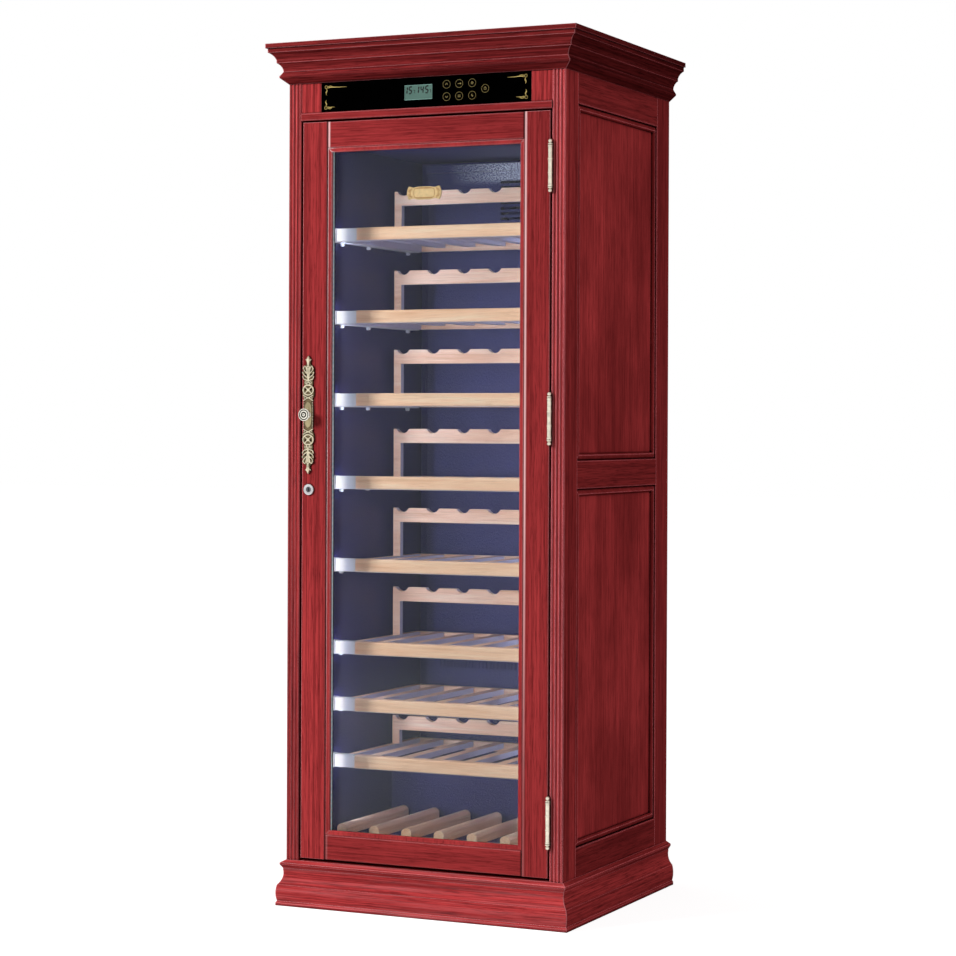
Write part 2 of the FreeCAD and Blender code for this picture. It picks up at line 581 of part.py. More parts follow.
def cavity():
    inner = f"{CAVITY} + sheet"
    floor = f"{CAVITY_LOW} - sheet"
    ceiling = f"{CAVITY_HIGH} + sheet"
    front = CAVITY_FRONT
    skin = f"{CAVITY_FRONT} + sheet"
    back = f"{CAVITY_BACK} + sheet"
    slabs = [
        block("foam_left", (f"-{CASE_IN}", f"-({inner})"), (skin, back), ("base_height", LEDGE_LOW)),
        block("foam_right", (inner, CASE_IN), (skin, back), ("base_height", LEDGE_LOW)),
        block("foam_top", (f"-({inner})", inner), (skin, back), (ceiling, LEDGE_LOW)),
        block("foam_floor", (f"-({inner})", inner), (skin, STEP_FRONT), ("base_height", floor)),
        block("foam_riser", (f"-{CAVITY}", CAVITY), (f"{STEP_FRONT} + sheet", BAY_FRONT),
              ("base_height", f"{STEP_TOP} - sheet")),
        block("foam_step", (f"-{CAVITY}", CAVITY), (BAY_FRONT, back),
              (BAY_TOP, f"{STEP_TOP} - sheet")),
        block("foam_back", (f"-{CASE_IN}", CASE_IN), (back, REAR), (BAY_TOP, LEDGE_LOW)),
    ]
    sub_part("insulation", *slabs)
    vents = [rod(f"sensor_vent_{index}", "vent_radius", "sheet + 2", "x", f"-({inner}) - 1",
                 f"{CAVITY_BACK} - vent_inset + vent_pitch * {index}", f"{SHELF_LEVELS[0]} - vent_drop")
             for index in range(9)]
    walls = [
        cut("liner_left", block("liner_left_sheet", (f"-({inner})", f"-{CAVITY}"), (skin, back),
                                (floor, ceiling)), *vents),
        block("liner_right", (CAVITY, inner), (skin, back), (floor, ceiling)),
        block("liner_ceiling", (f"-{CAVITY}", CAVITY), (skin, back), (CAVITY_HIGH, ceiling)),
        block("liner_floor", (f"-{CAVITY}", CAVITY), (skin, STEP_FRONT), (floor, CAVITY_LOW)),
        block("liner_riser", (f"-{CAVITY}", CAVITY), (STEP_FRONT, f"{STEP_FRONT} + sheet"),
              (floor, f"{STEP_TOP} - sheet")),
        block("liner_step", (f"-{CAVITY}", CAVITY), (STEP_FRONT, CAVITY_BACK),
              (f"{STEP_TOP} - sheet", STEP_TOP)),
        block("liner_back", (f"-{CAVITY}", CAVITY), (CAVITY_BACK, back),
              (f"{STEP_TOP} - sheet", CAVITY_HIGH)),
        block("flange_left", (f"-{CASE_IN}", f"-{CAVITY}"), (front, skin),
              ("base_height", LEDGE_LOW)),
        block("flange_right", (CAVITY, CASE_IN), (front, skin), ("base_height", LEDGE_LOW)),
        block("flange_top", (f"-{CAVITY}", CAVITY), (front, skin), (CAVITY_HIGH, LEDGE_LOW)),
        block("flange_bottom", (f"-{CAVITY}", CAVITY), (front, skin),
              ("base_height", CAVITY_LOW)),
    ]
    sub_part("inner_liner", *walls)
    sub_part("rear_panel", block("rear_sheet", (f"-{CASE_IN}", CASE_IN),
                                 (REAR, f"{REAR} + rear_sheet"), (BAY_TOP, CASE_TOP)))


LIGHT_FRONT = f"({CAVITY_FRONT} + light_setback)"


def lights():
    sub_part("led_strips", *[
        bar(f"led_strip_{side}", "z", mirrored(sign, f"{CAVITY} - light_width", CAVITY),
            (LIGHT_FRONT, f"{LIGHT_FRONT} + light_depth"),
            (f"{CAVITY_LOW} + light_rise", f"{CAVITY_HIGH} - light_drop"),
            "-x" if sign > 0 else "+x") for side, sign in SIDES])


# Shelves and what they slide on

def rounded_front(front, back, half_height, radius):
    """A board's section, with both front edges rounded, on the plane of Y and Z."""
    return [(back, f"-{half_height}"), (f"{front} + {radius}", f"-{half_height}"),
            (front, f"-({half_height} - {radius})", radius, -1),
            (front, f"{half_height} - {radius}"),
            (f"{front} + {radius}", half_height, radius, -1), (back, half_height)]


def cradle_outline(rise):
    """A raised rail, with one dip along its top edge for each bottle's neck."""
    top = f"slat_top + {rise}"
    low = f"{top} - cradle_rail"
    points = [(f"-{CRADLE_HALF}", low), (CRADLE_HALF, low), (CRADLE_HALF, top)]
    count = int(amount("bottles_across"))
    for bottle in range(count, -1, -1):
        middle = f"({bottle} - bottles_across / 2) * {BOTTLE_PITCH}"
        points.append((f"{middle} + cradle_dip_width / 2", top))
        points.append((f"{middle} - cradle_dip_width / 2", top, "cradle_dip_radius", -1))
    return points + [(f"-{CRADLE_HALF}", top)]


def shelf(number, level, rise):
    """A slatted shelf with a thick rounded facing, and a neck cradle where the bottles lean back."""
    name = f"shelf_{number}"
    rail_back = f"({SHELF_FRONT} + rail_thickness)"
    rear_front = f"({SHELF_BACK} - rear_rail)"
    rail = extruded(f"{name}_front", "YZ_Plane",
                    [(SHELF_FRONT, "-rail_height / 2"), (rail_back, "-rail_height / 2"),
                     (rail_back, "rail_height / 2"), (SHELF_FRONT, "rail_height / 2")],
                    f"2 * {SHELF_HALF}")
    facing = outline(rail, "YZ_Plane", rounded_front(f"({SHELF_FRONT} - facing_thickness)",
                                                     SHELF_FRONT, "(facing_height / 2)",
                                                     "facing_radius"))
    pad(rail, facing, f"2 * ({SHELF_HALF} - facing_end)", middle=True)
    pieces = [place(rail, z=f"{level} + facing_rise")]
    slat_z = (f"{level} + slat_top - slat_thickness", f"{level} + slat_top")
    count = int(amount("bottles_across"))
    for index in range(count):
        middle = f"({index} - (bottles_across - 1) / 2) * {BOTTLE_PITCH}"
        pieces.append(block(f"{name}_slat_{index + 1}",
                            (f"{middle} - slat_width / 2", f"{middle} + slat_width / 2"),
                            (rail_back, rear_front), slat_z))
    for side, sign in SIDES:
        pieces.append(block(f"{name}_side_{side}",
                            mirrored(sign, f"{SHELF_HALF} - side_slat", SHELF_HALF),
                            (rail_back, rear_front),
                            (f"{level} + slat_top - side_slat_height", f"{level} + slat_top")))
    pieces.append(block(f"{name}_rear", (f"-{SHELF_HALF}", SHELF_HALF), (rear_front, SHELF_BACK),
                        (f"{level} + slat_top - side_slat_height", f"{level} + slat_top")))
    if rise:
        cradle = extruded(f"{name}_cradle", "XZ_Plane", cradle_outline(rise), "cradle_thickness")
        pieces.append(place(cradle, "0", f"{CRADLE_FRONT} + cradle_thickness / 2", level))
        for side, sign in SIDES:
            pieces.append(block(f"{name}_post_{side}",
                                mirrored(sign, f"{CRADLE_HALF} - cradle_post", CRADLE_HALF),
                                (CRADLE_FRONT, f"{CRADLE_FRONT} + cradle_thickness"),
                                (f"{level} + slat_top",
                                 f"{level} + slat_top + {rise} - cradle_rail")))
    sub_part(name, *pieces)


def runner(name, sign, level):
    """A steel ledge on the cavity wall, with rollers under it and a block beside the shelf's front."""
    top = f"({level} + slat_top - side_slat_height - runner_gap)"
    low = f"({top} - runner_sheet)"
    block_back = f"({SHELF_FRONT} - block_forward + block_depth)"
    run = (block_back, f"{SHELF_BACK} - rear_rail")
    pieces = [
        block(f"{name}_ledge", mirrored(sign, f"{CAVITY} - runner_ledge", CAVITY), run, (low, top)),
        block(f"{name}_web", mirrored(sign, f"{CAVITY} - runner_sheet", CAVITY), run,
              (low, f"{low} + runner_web")),
        block(f"{name}_block", mirrored(sign, f"{SHELF_HALF} + block_clearance", CAVITY),
              (f"{SHELF_FRONT} - block_forward", block_back),
              (f"{level} + facing_rise - block_height / 2",
               f"{level} + facing_rise + block_height / 2")),
    ]
    start = mirrored(sign, f"{CAVITY} - roller_length", CAVITY)[0]
    for index, y in enumerate((f"{block_back} + 25", f"{block_back} + 150", f"{SHELF_BACK} - 34")):
        pieces.append(rod(f"{name}_roller_{index}", "roller_radius", "roller_length", "x",
                          start, y, f"{low} - roller_radius + 0.5"))
    return joined(name, *pieces)


# How far each shelf's neck cradle rises above its slats, where it isn't a display shelf's
CRADLE_RISE = {7: None, 8: "(low_pitch - low_headroom)"}
BATTEN_FRONT = f"({CAVITY_FRONT} + rack_setback)"
BATTEN_BACK = f"({STEP_FRONT} - rack_rear_gap)"
RACK_HALF = f"({CAVITY} - rack_side_gap)"
BATTEN_PITCH = f"(2 * ({RACK_HALF} - batten_end) / bottles_across)"


def shelving():
    for number, level in enumerate(SHELF_LEVELS, start=1):
        shelf(number, level, CRADLE_RISE.get(number, f"({DISPLAY_PITCH} - cradle_headroom)"))
    sub_part("shelf_runners", *[runner(f"runner_{side}_{number}", sign, level)
                                for number, level in enumerate(SHELF_LEVELS, start=1)
                                for side, sign in SIDES])
    half = "batten_width / 2"
    section = [(f"-{half}", "0"), (half, "0"), (half, "batten_side"),
               (f"-{half}", "batten_side", "batten_round", 1)]
    foot = f"({CAVITY_LOW} + rack_cross)"
    rack = []
    for index in range(int(amount("bottles_across")) + 1):
        batten = extruded(f"rack_batten_{index + 1}", "XZ_Plane", section,
                          f"{BATTEN_BACK} - {BATTEN_FRONT}")
        rack.append(place(batten, f"({index} - bottles_across / 2) * {BATTEN_PITCH}",
                          f"({BATTEN_BACK} + {BATTEN_FRONT}) / 2", foot))
    for place_name, y in (("front", f"{BATTEN_FRONT} + rack_inset"),
                          ("rear", f"{BATTEN_BACK} - rack_inset - rack_cross_width")):
        rack.append(block(f"rack_cross_{place_name}", (f"-{RACK_HALF}", RACK_HALF),
                          (y, f"{y} + rack_cross_width"), (CAVITY_LOW, foot)))
    sub_part("bottom_rack", *rack)


# Fans

def fan_frame(x, front, z, name):
    """A square fan frame, front face at the given Y, with its motor on a cross of struts."""
    half = "fan_size / 2"
    back = f"({front} + fan_depth)"
    square = block(f"{name}_square", (f"{x} - {half}", f"{x} + {half}"), (front, back),
                   (f"{z} - {half}", f"{z} + {half}"))
    ring = cut(f"{name}_ring", square, rod(f"{name}_bore", "fan_bore", "fan_depth + 2", "y", x,
                                           f"{front} - 1", z))
    reach = "(fan_bore + 1)"
    strut = (f"{back} - strut_depth", back)
    cross = [
        block(f"{name}_strut_flat", (f"{x} - {reach}", f"{x} + {reach}"), strut,
              (f"{z} - strut_width / 2", f"{z} + strut_width / 2")),
        block(f"{name}_strut_tall", (f"{x} - strut_width / 2", f"{x} + strut_width / 2"), strut,
              (f"{z} - {reach}", f"{z} + {reach}")),
        rod(f"{name}_motor", "motor_radius", "motor_depth", "y", x, f"{back} - motor_depth", z),
        rod(f"{name}_shaft", "shaft_radius", "shaft_length + 1", "y", x,
            f"{back} - motor_depth - shaft_length", z),
    ]
    return joined(f"{name}_whole", ring, *cross)


def fan_rotor(x, front, z, name):
    """The bladed hub that runs on the frame's shaft."""
    hub_back = f"({front} + fan_depth - motor_depth - rotor_gap)"
    hub_front = f"({hub_back} - rotor_depth)"
    pieces = [rod(f"{name}_hub", "fan_hub", "rotor_depth", "y", x, hub_front, z)]
    across = FreeCAD.Vector(0, 1, 0)
    for index in range(int(amount("blade_count"))):
        sheet = block(f"{name}_sheet_{index}", ("fan_hub - 2", "fan_tip + 4"),
                      ("-blade_sheet / 2", "blade_sheet / 2"), ("-blade_chord / 2", "blade_chord / 2"))
        pitched = place(together(f"{name}_pitched_{index}", sheet), axis=FreeCAD.Vector(1, 0, 0),
                        angle=amount("90 - blade_angle"))
        pieces.append(place(together(f"{name}_blade_{index}", pitched), x,
                            f"{hub_front} + rotor_depth / 2", z, across,
                            360 * index / amount("blade_count")))
    disc = rod(f"{name}_disc", "fan_tip", "rotor_depth", "y", x, hub_front, z)
    trimmed = doc.addObject("Part::Common", f"{name}_trimmed")
    trimmed.Base = joined(f"{name}_star", *pieces)
    trimmed.Tool = disc
    bore = rod(f"{name}_bore", "shaft_radius + shaft_clearance", "shaft_length", "y", x,
               f"{hub_back} + rotor_gap - shaft_length - 0.3", z)
    return cut(f"{name}_bored", trimmed, bore)


# Air duct and cooler on the back wall

DUCT_FRONT = f"({CAVITY_BACK} - duct_depth)"
DUCT_SKIN = f"({DUCT_FRONT} + sheet)"
DUCT_HALF = f"({CAVITY} - duct_side_gap)"
DUCT_TOP = f"({CAVITY_HIGH} - duct_top_gap)"
FAN_Z = f"({DUCT_TOP} - fan_drop)"
SLOT_LOW = f"({STEP_TOP} + slot_rise)"
COOLER_HALF = f"({DUCT_HALF} - cooler_side_gap)"
COOLER_LOW = f"({STEP_TOP} + cooler_rise)"


def cooling():
    slots = []
    reach = int(amount(f"({DUCT_HALF} - slot_margin) / slot_pitch"))
    for index in range(-reach, reach + 1):
        middle = f"{index} * slot_pitch"
        slots.append(block(f"air_slot_{index + reach}",
                           (f"{middle} - slot_width / 2", f"{middle} + slot_width / 2"),
                           (f"{DUCT_FRONT} - 1", f"{DUCT_SKIN} + 1"),
                           (SLOT_LOW, f"{SLOT_LOW} + slot_height")))
    for index in range(-4, 5):
        middle = f"{FAN_Z} + {index} * grille_pitch"
        slots.append(block(f"fan_slot_{index + 4}", ("-grille_width / 2", "grille_width / 2"),
                           (f"{DUCT_FRONT} - 1", f"{DUCT_SKIN} + 1"),
                           (f"{middle} - grille_slot / 2", f"{middle} + grille_slot / 2")))
    tall = (STEP_TOP, DUCT_TOP)
    face = block("duct_face", (f"-{DUCT_HALF}", DUCT_HALF), (DUCT_FRONT, DUCT_SKIN), tall)
    pieces = [cut("duct_face_cut", face, together("duct_slots", *slots))]
    for side, sign in SIDES:
        pieces.append(block(f"duct_side_{side}", mirrored(sign, f"{DUCT_HALF} - sheet", DUCT_HALF),
                            (DUCT_SKIN, CAVITY_BACK), tall))
    pieces.append(block("duct_roof", (f"-({DUCT_HALF} - sheet)", f"{DUCT_HALF} - sheet"),
                        (DUCT_SKIN, CAVITY_BACK), (f"{DUCT_TOP} - sheet", DUCT_TOP)))
    pieces.append(block("duct_ledge", (f"-{DUCT_HALF}", DUCT_HALF),
                        (f"{DUCT_FRONT} - duct_lip_run", DUCT_FRONT),
                        (f"{DUCT_TOP} - duct_lip", DUCT_TOP)))
    sub_part("duct_cover", *pieces)

    plate_back = f"({CAVITY_BACK} - cooler_standoff)"
    plate_front = f"({plate_back} - cooler_plate)"
    room = f"({FAN_Z} - fan_size / 2 - cooler_top_gap - {COOLER_LOW})"
    rows = int(amount(f"{room} / cooler_pitch")) + 1
    height = f"{rows - 1} * cooler_pitch"
    parts = [block("cooler_sheet", (f"-{COOLER_HALF}", COOLER_HALF), (plate_front, plate_back),
                   (f"{COOLER_LOW} - 20", f"{COOLER_LOW} + {height} + 20"))]
    for column in (-1, 1):
        for row in (0, 1):
            x = f"{column} * ({COOLER_HALF} - 12)"
            z = f"{COOLER_LOW} + {row} * {height}"
            parts.append(rod(f"cooler_foot_{column + 1}{row}", "5", "cooler_standoff + 1", "y", x,
                             f"{plate_back} - 1", z))
    tube_y = f"({plate_front} - tube_radius + tube_bite)"
    bend = "cooler_pitch / 2"
    straight = f"({COOLER_HALF} - 20 - {bend})"
    for row in range(rows):
        z = f"{COOLER_LOW} + {row} * cooler_pitch"
        parts.append(rod(f"cooler_tube_{row}", "tube_radius", f"2 * {straight}", "x",
                         f"-{straight}", tube_y, z))
        if row < rows - 1:
            parts.append(half_ring(f"cooler_bend_{row}", bend, "tube_radius",
                                   f"{1 if row % 2 else -1} * {straight}", tube_y, f"{z} + {bend}",
                                   1 if row % 2 else -1))
    sub_part("evaporator", joined("cooler_whole", *parts))
    sub_part("evaporator_fan_frame", fan_frame("0", DUCT_SKIN, FAN_Z, "duct_fan"))
    sub_part("evaporator_fan", fan_rotor("0", DUCT_SKIN, FAN_Z, "duct_rotor"))


def half_ring(name, radius, tube, x, y, z, sign):
    """A half torus in an upright plane, open towards the middle of the cabinet."""
    ring = doc.addObject("Part::Torus", name)
    bind(ring, "Radius1", radius)
    bind(ring, "Radius2", tube)
    ring.Angle3 = 180
    upright = FreeCAD.Rotation(FreeCAD.Vector(0, 1, 0), 90 * sign) * FreeCAD.Rotation(
        FreeCAD.Vector(1, 0, 0), 90)
    return place(ring, x, y, z, upright.Axis, math.degrees(upright.Angle))


# Machine bay behind the step

PAN_TOP = "(pan_height + pan_sheet)"
CONDENSER_BACK = f"({REAR} - condenser_gap)"
CONDENSER_FRONT = f"({CONDENSER_BACK} - condenser_depth)"
CONDENSER_X = f"({CASE_IN} - condenser_inset)"
COMPRESSOR_X = f"(compressor_inset - {CASE_IN})"
INLET_X = f"(inlet_inset - {CASE_IN})"


def machine_bay():
    sub_part("base_pan", block("pan", (f"-{CASE_IN}", CASE_IN), (BAY_FRONT, REAR),
                               ("pan_height", PAN_TOP)))
    holes = []
    for column, x in enumerate((CONDENSER_X, f"({CONDENSER_X} - louvre_spread)")):
        for row in range(11):
            low = f"louvre_low + {row} * louvre_pitch"
            holes.append(block(f"louvre_{column}_{row}",
                               (f"{x} - louvre_width / 2", f"{x} + louvre_width / 2"),
                               (f"{REAR} - 1", f"{REAR} + cover_sheet + 1"),
                               (low, f"{low} + louvre_height")))
    half_x = "(inlet_width / 2 + inlet_clearance)"
    half_z = "(inlet_height / 2 + inlet_clearance)"
    holes.append(block("inlet_hole", (f"{INLET_X} - {half_x}", f"{INLET_X} + {half_x}"),
                       (f"{REAR} - 1", f"{REAR} + cover_sheet + 1"),
                       (f"inlet_z - {half_z}", f"inlet_z + {half_z}")))
    cover = block("cover_sheet_metal", (f"-{CASE_IN}", CASE_IN), (REAR, f"{REAR} + cover_sheet"),
                  ("pan_height", BAY_TOP))
    sub_part("machine_cover", cut("cover_cut", cover, together("cover_holes", *holes)))
    power_inlet()
    compressor()
    condenser()
    front = f"({CONDENSER_FRONT} - fan_to_condenser - fan_depth)"
    z = f"({PAN_TOP} + fan_stand + fan_size / 2)"
    stand = block("fan_stand_block",
                  (f"{CONDENSER_X} - fan_size / 2", f"{CONDENSER_X} + fan_size / 2"),
                  (front, f"{front} + fan_depth"), (PAN_TOP, f"{PAN_TOP} + fan_stand"))
    sub_part("condenser_fan_frame",
             joined("bay_fan_stood", fan_frame(CONDENSER_X, front, z, "bay_fan"), stand))
    sub_part("condenser_fan", fan_rotor(CONDENSER_X, front, z, "bay_rotor"))


def power_inlet():
    outer = f"({REAR} + cover_sheet)"
    half_x = "inlet_width / 2"
    half_z = "inlet_height / 2"
    shell = joined(
        "inlet_shell",
        block("inlet_body", (f"{INLET_X} - {half_x}", f"{INLET_X} + {half_x}"),
              (f"{outer} - inlet_depth", outer), (f"inlet_z - {half_z}", f"inlet_z + {half_z}")),
        block("inlet_face",
              (f"{INLET_X} - {half_x} - inlet_flange", f"{INLET_X} + {half_x} + inlet_flange"),
              (outer, f"{outer} + cover_sheet"),
              (f"inlet_z - {half_z} - inlet_flange / 2", f"inlet_z + {half_z} + inlet_flange / 2")))
    well = block("inlet_well", (f"{INLET_X} - {half_x} + 2", f"{INLET_X} + {half_x} - 2"),
                 (f"{outer} - inlet_depth + 3", f"{outer} + cover_sheet + 1"),
                 (f"inlet_z - {half_z} + 2", f"inlet_z + {half_z} - 2"))
    pins = [block(f"inlet_pin_{index}", (f"{INLET_X} + {x} - 1", f"{INLET_X} + {x} + 1"),
                  (f"{outer} - inlet_depth + 2", f"{outer} - 3"),
                  (f"inlet_z + {z} - 2", f"inlet_z + {z} + 2"))
            for index, (x, z) in enumerate(((-7, -1), (0, 3), (7, -1)))]
    sub_part("power_inlet", joined("inlet_whole", cut("inlet_hollow", shell, well), *pins))


def compressor():
    middle_y = "(body_depth - compressor_back)"
    plate = f"({PAN_TOP} + compressor_foot)"
    pot = turned("compressor_pot", [
        ("0", "0"), ("compressor_radius - 8", "0"), ("compressor_radius", "10"),
        ("compressor_radius", "compressor_height - 45"),
        ("compressor_radius * 0.4", "compressor_height", "compressor_radius", 1),
        ("0", "compressor_height")])
    pieces = [
        place(pot, COMPRESSOR_X, middle_y, f"{plate} + 3"),
        block("compressor_plate", (f"{COMPRESSOR_X} - 84", f"{COMPRESSOR_X} + 84"),
              (f"{middle_y} - 52", f"{middle_y} + 52"), (plate, f"{plate} + 3")),
        block("compressor_terminals",
              (f"{COMPRESSOR_X} + compressor_radius - 4", f"{COMPRESSOR_X} + compressor_radius + 26"),
              (f"{middle_y} - 22", f"{middle_y} + 22"), (f"{plate} + 40", f"{plate} + 95")),
    ]
    for index, (x, y) in enumerate(((-70, -40), (70, -40), (-70, 40), (70, 40))):
        pieces.append(rod(f"compressor_mount_{index}", "9", "compressor_foot + 1", "z",
                          f"{COMPRESSOR_X} + {x}", f"{middle_y} + {y}", PAN_TOP))
    for index, y in enumerate((-20, 0, 20)):
        pieces.append(rod(f"compressor_stub_{index}", "tube_radius", "34", "x",
                          f"{COMPRESSOR_X} - compressor_radius - 20", f"{middle_y} + {y}",
                          f"{plate} + 70"))
    sub_part("compressor", joined("compressor_whole", *pieces))


def condenser():
    low = PAN_TOP
    high = f"({PAN_TOP} + condenser_height)"
    depth = (CONDENSER_FRONT, CONDENSER_BACK)
    half = "(condenser_width / 2)"
    middle_y = f"({CONDENSER_FRONT} + condenser_depth / 2)"
    pieces = []
    for index in range(-6, 7):
        x = f"{CONDENSER_X} + {index} * fin_pitch"
        pieces.append(block(f"fin_{index + 6}", (f"{x} - fin_sheet / 2", f"{x} + fin_sheet / 2"),
                            depth, (f"{low} + 6", f"{high} - 6")))
    for side, sign in SIDES:
        edge = f"({CONDENSER_X} + {sign} * {half})"
        pieces.append(block(f"condenser_plate_{side}", (f"{edge} - 1", f"{edge} + 1"), depth,
                            (low, high)))
    rows = int(amount("condenser_rows"))
    for row in range(rows):
        z = f"{low} + condenser_height / 2 + ({row} - (condenser_rows - 1) / 2) * condenser_pitch"
        pieces.append(rod(f"condenser_tube_{row}", "tube_radius", f"2 * {half} + 4", "x",
                          f"{CONDENSER_X} - {half} - 2", middle_y, z))
        if row < rows - 1:
            sign = 1 if row % 2 else -1
            pieces.append(half_ring(f"condenser_bend_{row}", "condenser_pitch / 2", "tube_radius",
                                    f"{CONDENSER_X} + {sign} * ({half} + 2)", middle_y,
                                    f"{z} + condenser_pitch / 2", sign))
    sub_part("condenser", joined("condenser_whole", *pieces))


# Door

PANE_IN = f"({STILE_IN} + glass_bite)"
PANE_LOW = f"({OPEN_LOW} - glass_bite)"
PANE_HIGH = f"({OPEN_HIGH} + glass_bite)"
DOOR_Y = ("door_setback", DOOR_BACK)
LOCK_FACE = "(door_setback - rose_thickness)"
LOCK_Z = (f"{LOCK_MIDDLE} - case_height / 2", f"{LOCK_MIDDLE} + case_height / 2")


def glass_room(name):
    """The groove that holds the glass, and the wider room behind it."""
    wide = f"({PANE_IN} + glass_clearance)"
    clear = f"({PANE_IN} - rear_lip)"
    groove = block(f"{name}_groove", (f"-{wide}", wide), (GLASS, GLASS_BACK),
                   (f"{PANE_LOW} - glass_clearance", f"{PANE_HIGH} + glass_clearance"))
    behind = block(f"{name}_behind", (f"-{clear}", clear), (f"{GLASS_BACK} - 1", f"{DOOR_BACK} + 1"),
                   (f"{PANE_LOW} + rear_lip", f"{PANE_HIGH} - rear_lip"))
    return groove, behind


def door_frame():
    for side, sign in SIDES:
        stile = cut(
            f"stile_{side}",
            bar(f"stile_{side}_bar", "z", mirrored(sign, STILE_IN, DOOR_HALF), DOOR_Y,
                (DOOR_LOW, DOOR_HIGH), "-y"),
            *glass_room(f"stile_{side}"))
        if side == "right":
            sub_part("door_hinge_stile", stile)
            continue
        gap = "case_clearance"
        mortise = block("case_mortise",
                        mirrored(-1, f"{DOOR_HALF} - case_width - {gap}", f"{DOOR_HALF} + 1"),
                        (f"{CASE_FRONT} - {gap}", f"{CASE_FRONT} + case_depth + {gap}"),
                        (f"{LOCK_Z[0]} - {gap}", f"{LOCK_Z[1]} + {gap}"))
        bore = rod("barrel_hole", f"barrel_radius + {gap}", f"{CASE_FRONT} + 2", "y", f"-{LOCK_X}",
                   "-1", LOCK_MIDDLE)
        sub_part("door_lock_stile", cut("lock_stile_cut", stile, mortise, bore))
    rails = []
    for name, span in (("bottom", (DOOR_LOW, OPEN_LOW)), ("top", (OPEN_HIGH, DOOR_HIGH))):
        rails.append(cut(
            f"door_rail_{name}",
            bar(f"door_rail_{name}_bar", "x", (f"-{STILE_IN}", STILE_IN), DOOR_Y, span, "-y"),
            *glass_room(f"door_rail_{name}")))
    sub_part("door_rails", *rails)
    crest = "(glass_setback - bead_setback)"
    profile = [("0", "0"), ("bead_width", "0"), ("bead_width", "bead_lip"),
               ("bead_width - 3", "bead_lip + 3", "3.2", 1), ("bead_width - 4.5", "bead_lip + 3"),
               ("1.5", crest, "bead_radius", -1), ("0", crest)]
    moulding = bead_frame("door_bead", f"2 * {STILE_IN}", f"{OPEN_HIGH} - {OPEN_LOW}", profile,
                          "bead_width")
    sub_part("door_moulding", place(moulding, "0", GLASS, f"({OPEN_HIGH} + {OPEN_LOW}) / 2",
                                    FreeCAD.Vector(1, 0, 0), 90))


def ring_of_bars(name, half, low, high, width, y):
    """Four square bars that close a rectangle, the uprights running full height."""
    pieces = [block(f"{name}_{side}", mirrored(sign, f"{half} - {width}", half), y, (low, high))
              for side, sign in SIDES]
    inner = f"({half} - {width})"
    pieces.append(block(f"{name}_bottom", (f"-{inner}", inner), y, (low, f"{low} + {width}")))
    pieces.append(block(f"{name}_top", (f"-{inner}", inner), y, (f"{high} - {width}", high)))
    return pieces


def glazing():
    tall = (PANE_LOW, PANE_HIGH)
    wide = (f"-{PANE_IN}", PANE_IN)
    middle = f"({GLASS} + pane_thickness)"
    rear = f"({middle} + pane_space)"
    sub_part("door_glass",
             block("outer_pane", wide, (GLASS, middle), tall),
             block("inner_pane", wide, (rear, f"{rear} + pane_thickness"), tall))
    sub_part("glass_spacer", *ring_of_bars(
        "spacer", f"({PANE_IN} - spacer_clearance)", f"({PANE_LOW} + spacer_clearance)",
        f"({PANE_HIGH} - spacer_clearance)", "spacer_width", (middle, rear)))
    sub_part("door_gasket", *ring_of_bars(
        "gasket", f"({DOOR_HALF} - gasket_edge)", f"({DOOR_LOW} + gasket_edge)",
        f"({DOOR_HIGH} - gasket_edge)", "gasket_width",
        (DOOR_BACK, f"{CAVITY_FRONT} - gasket_gap")))
    half = "badge_width / 2"
    edge = "badge_height / 2"
    corner = f"({half} - badge_flare)"
    waist = f"({half} - badge_waist)"
    notch = f"({edge} - badge_notch)"
    crest = f"({edge} - badge_crest)"
    plaque = extruded("badge_plaque", "XZ_Plane", [
        (f"-{corner}", f"-{edge}", "badge_round", 1), (f"-{waist}", f"-{notch}", "badge_scroll", -1),
        ("-14", f"-{edge}"), ("14", f"-{edge}"), (waist, f"-{notch}"),
        (corner, f"-{edge}", "badge_scroll", -1), (corner, edge, "badge_round", 1),
        (waist, notch, "badge_scroll", -1), ("14", crest), ("-14", crest), (f"-{waist}", notch),
        (f"-{corner}", edge, "badge_scroll", -1)], "badge_thickness")
    sub_part("glass_badge", place(plaque, "badge_x", f"{GLASS} - badge_thickness / 2",
                                  f"{OPEN_HIGH} - badge_drop"))


# Hinges

HINGE_X = f"({CASE_IN} - door_side_gap / 2)"
HINGE_LEVELS = (HINGE_HIGH, HINGE_MIDDLE, HINGE_LOW)


def hinge_leaf(name, x, level, knuckles):
    """A leaf plate with necks and bored knuckles; each knuckle is a (low, high) span."""
    pieces = [block(f"{name}_plate", x, ("0", "hinge_leaf_depth"),
                    (f"{level} - hinge_barrel / 2", f"{level} + hinge_barrel / 2"))]
    for index, (low, high) in enumerate(knuckles):
        pieces.append(block(f"{name}_neck_{index}", x, ("-hinge_forward + 3", "0.5"), (low, high)))
        pieces.append(rod(f"{name}_knuckle_{index}", "hinge_radius", f"({high}) - ({low})", "z",
                          HINGE_X, "-hinge_forward", low))
    bore = rod(f"{name}_bore", "hinge_pin_radius + pin_clearance", "hinge_barrel + 2", "z", HINGE_X,
               "-hinge_forward", f"{level} - hinge_barrel / 2 - 1")
    return cut(name, joined(f"{name}_solid", *pieces), bore)


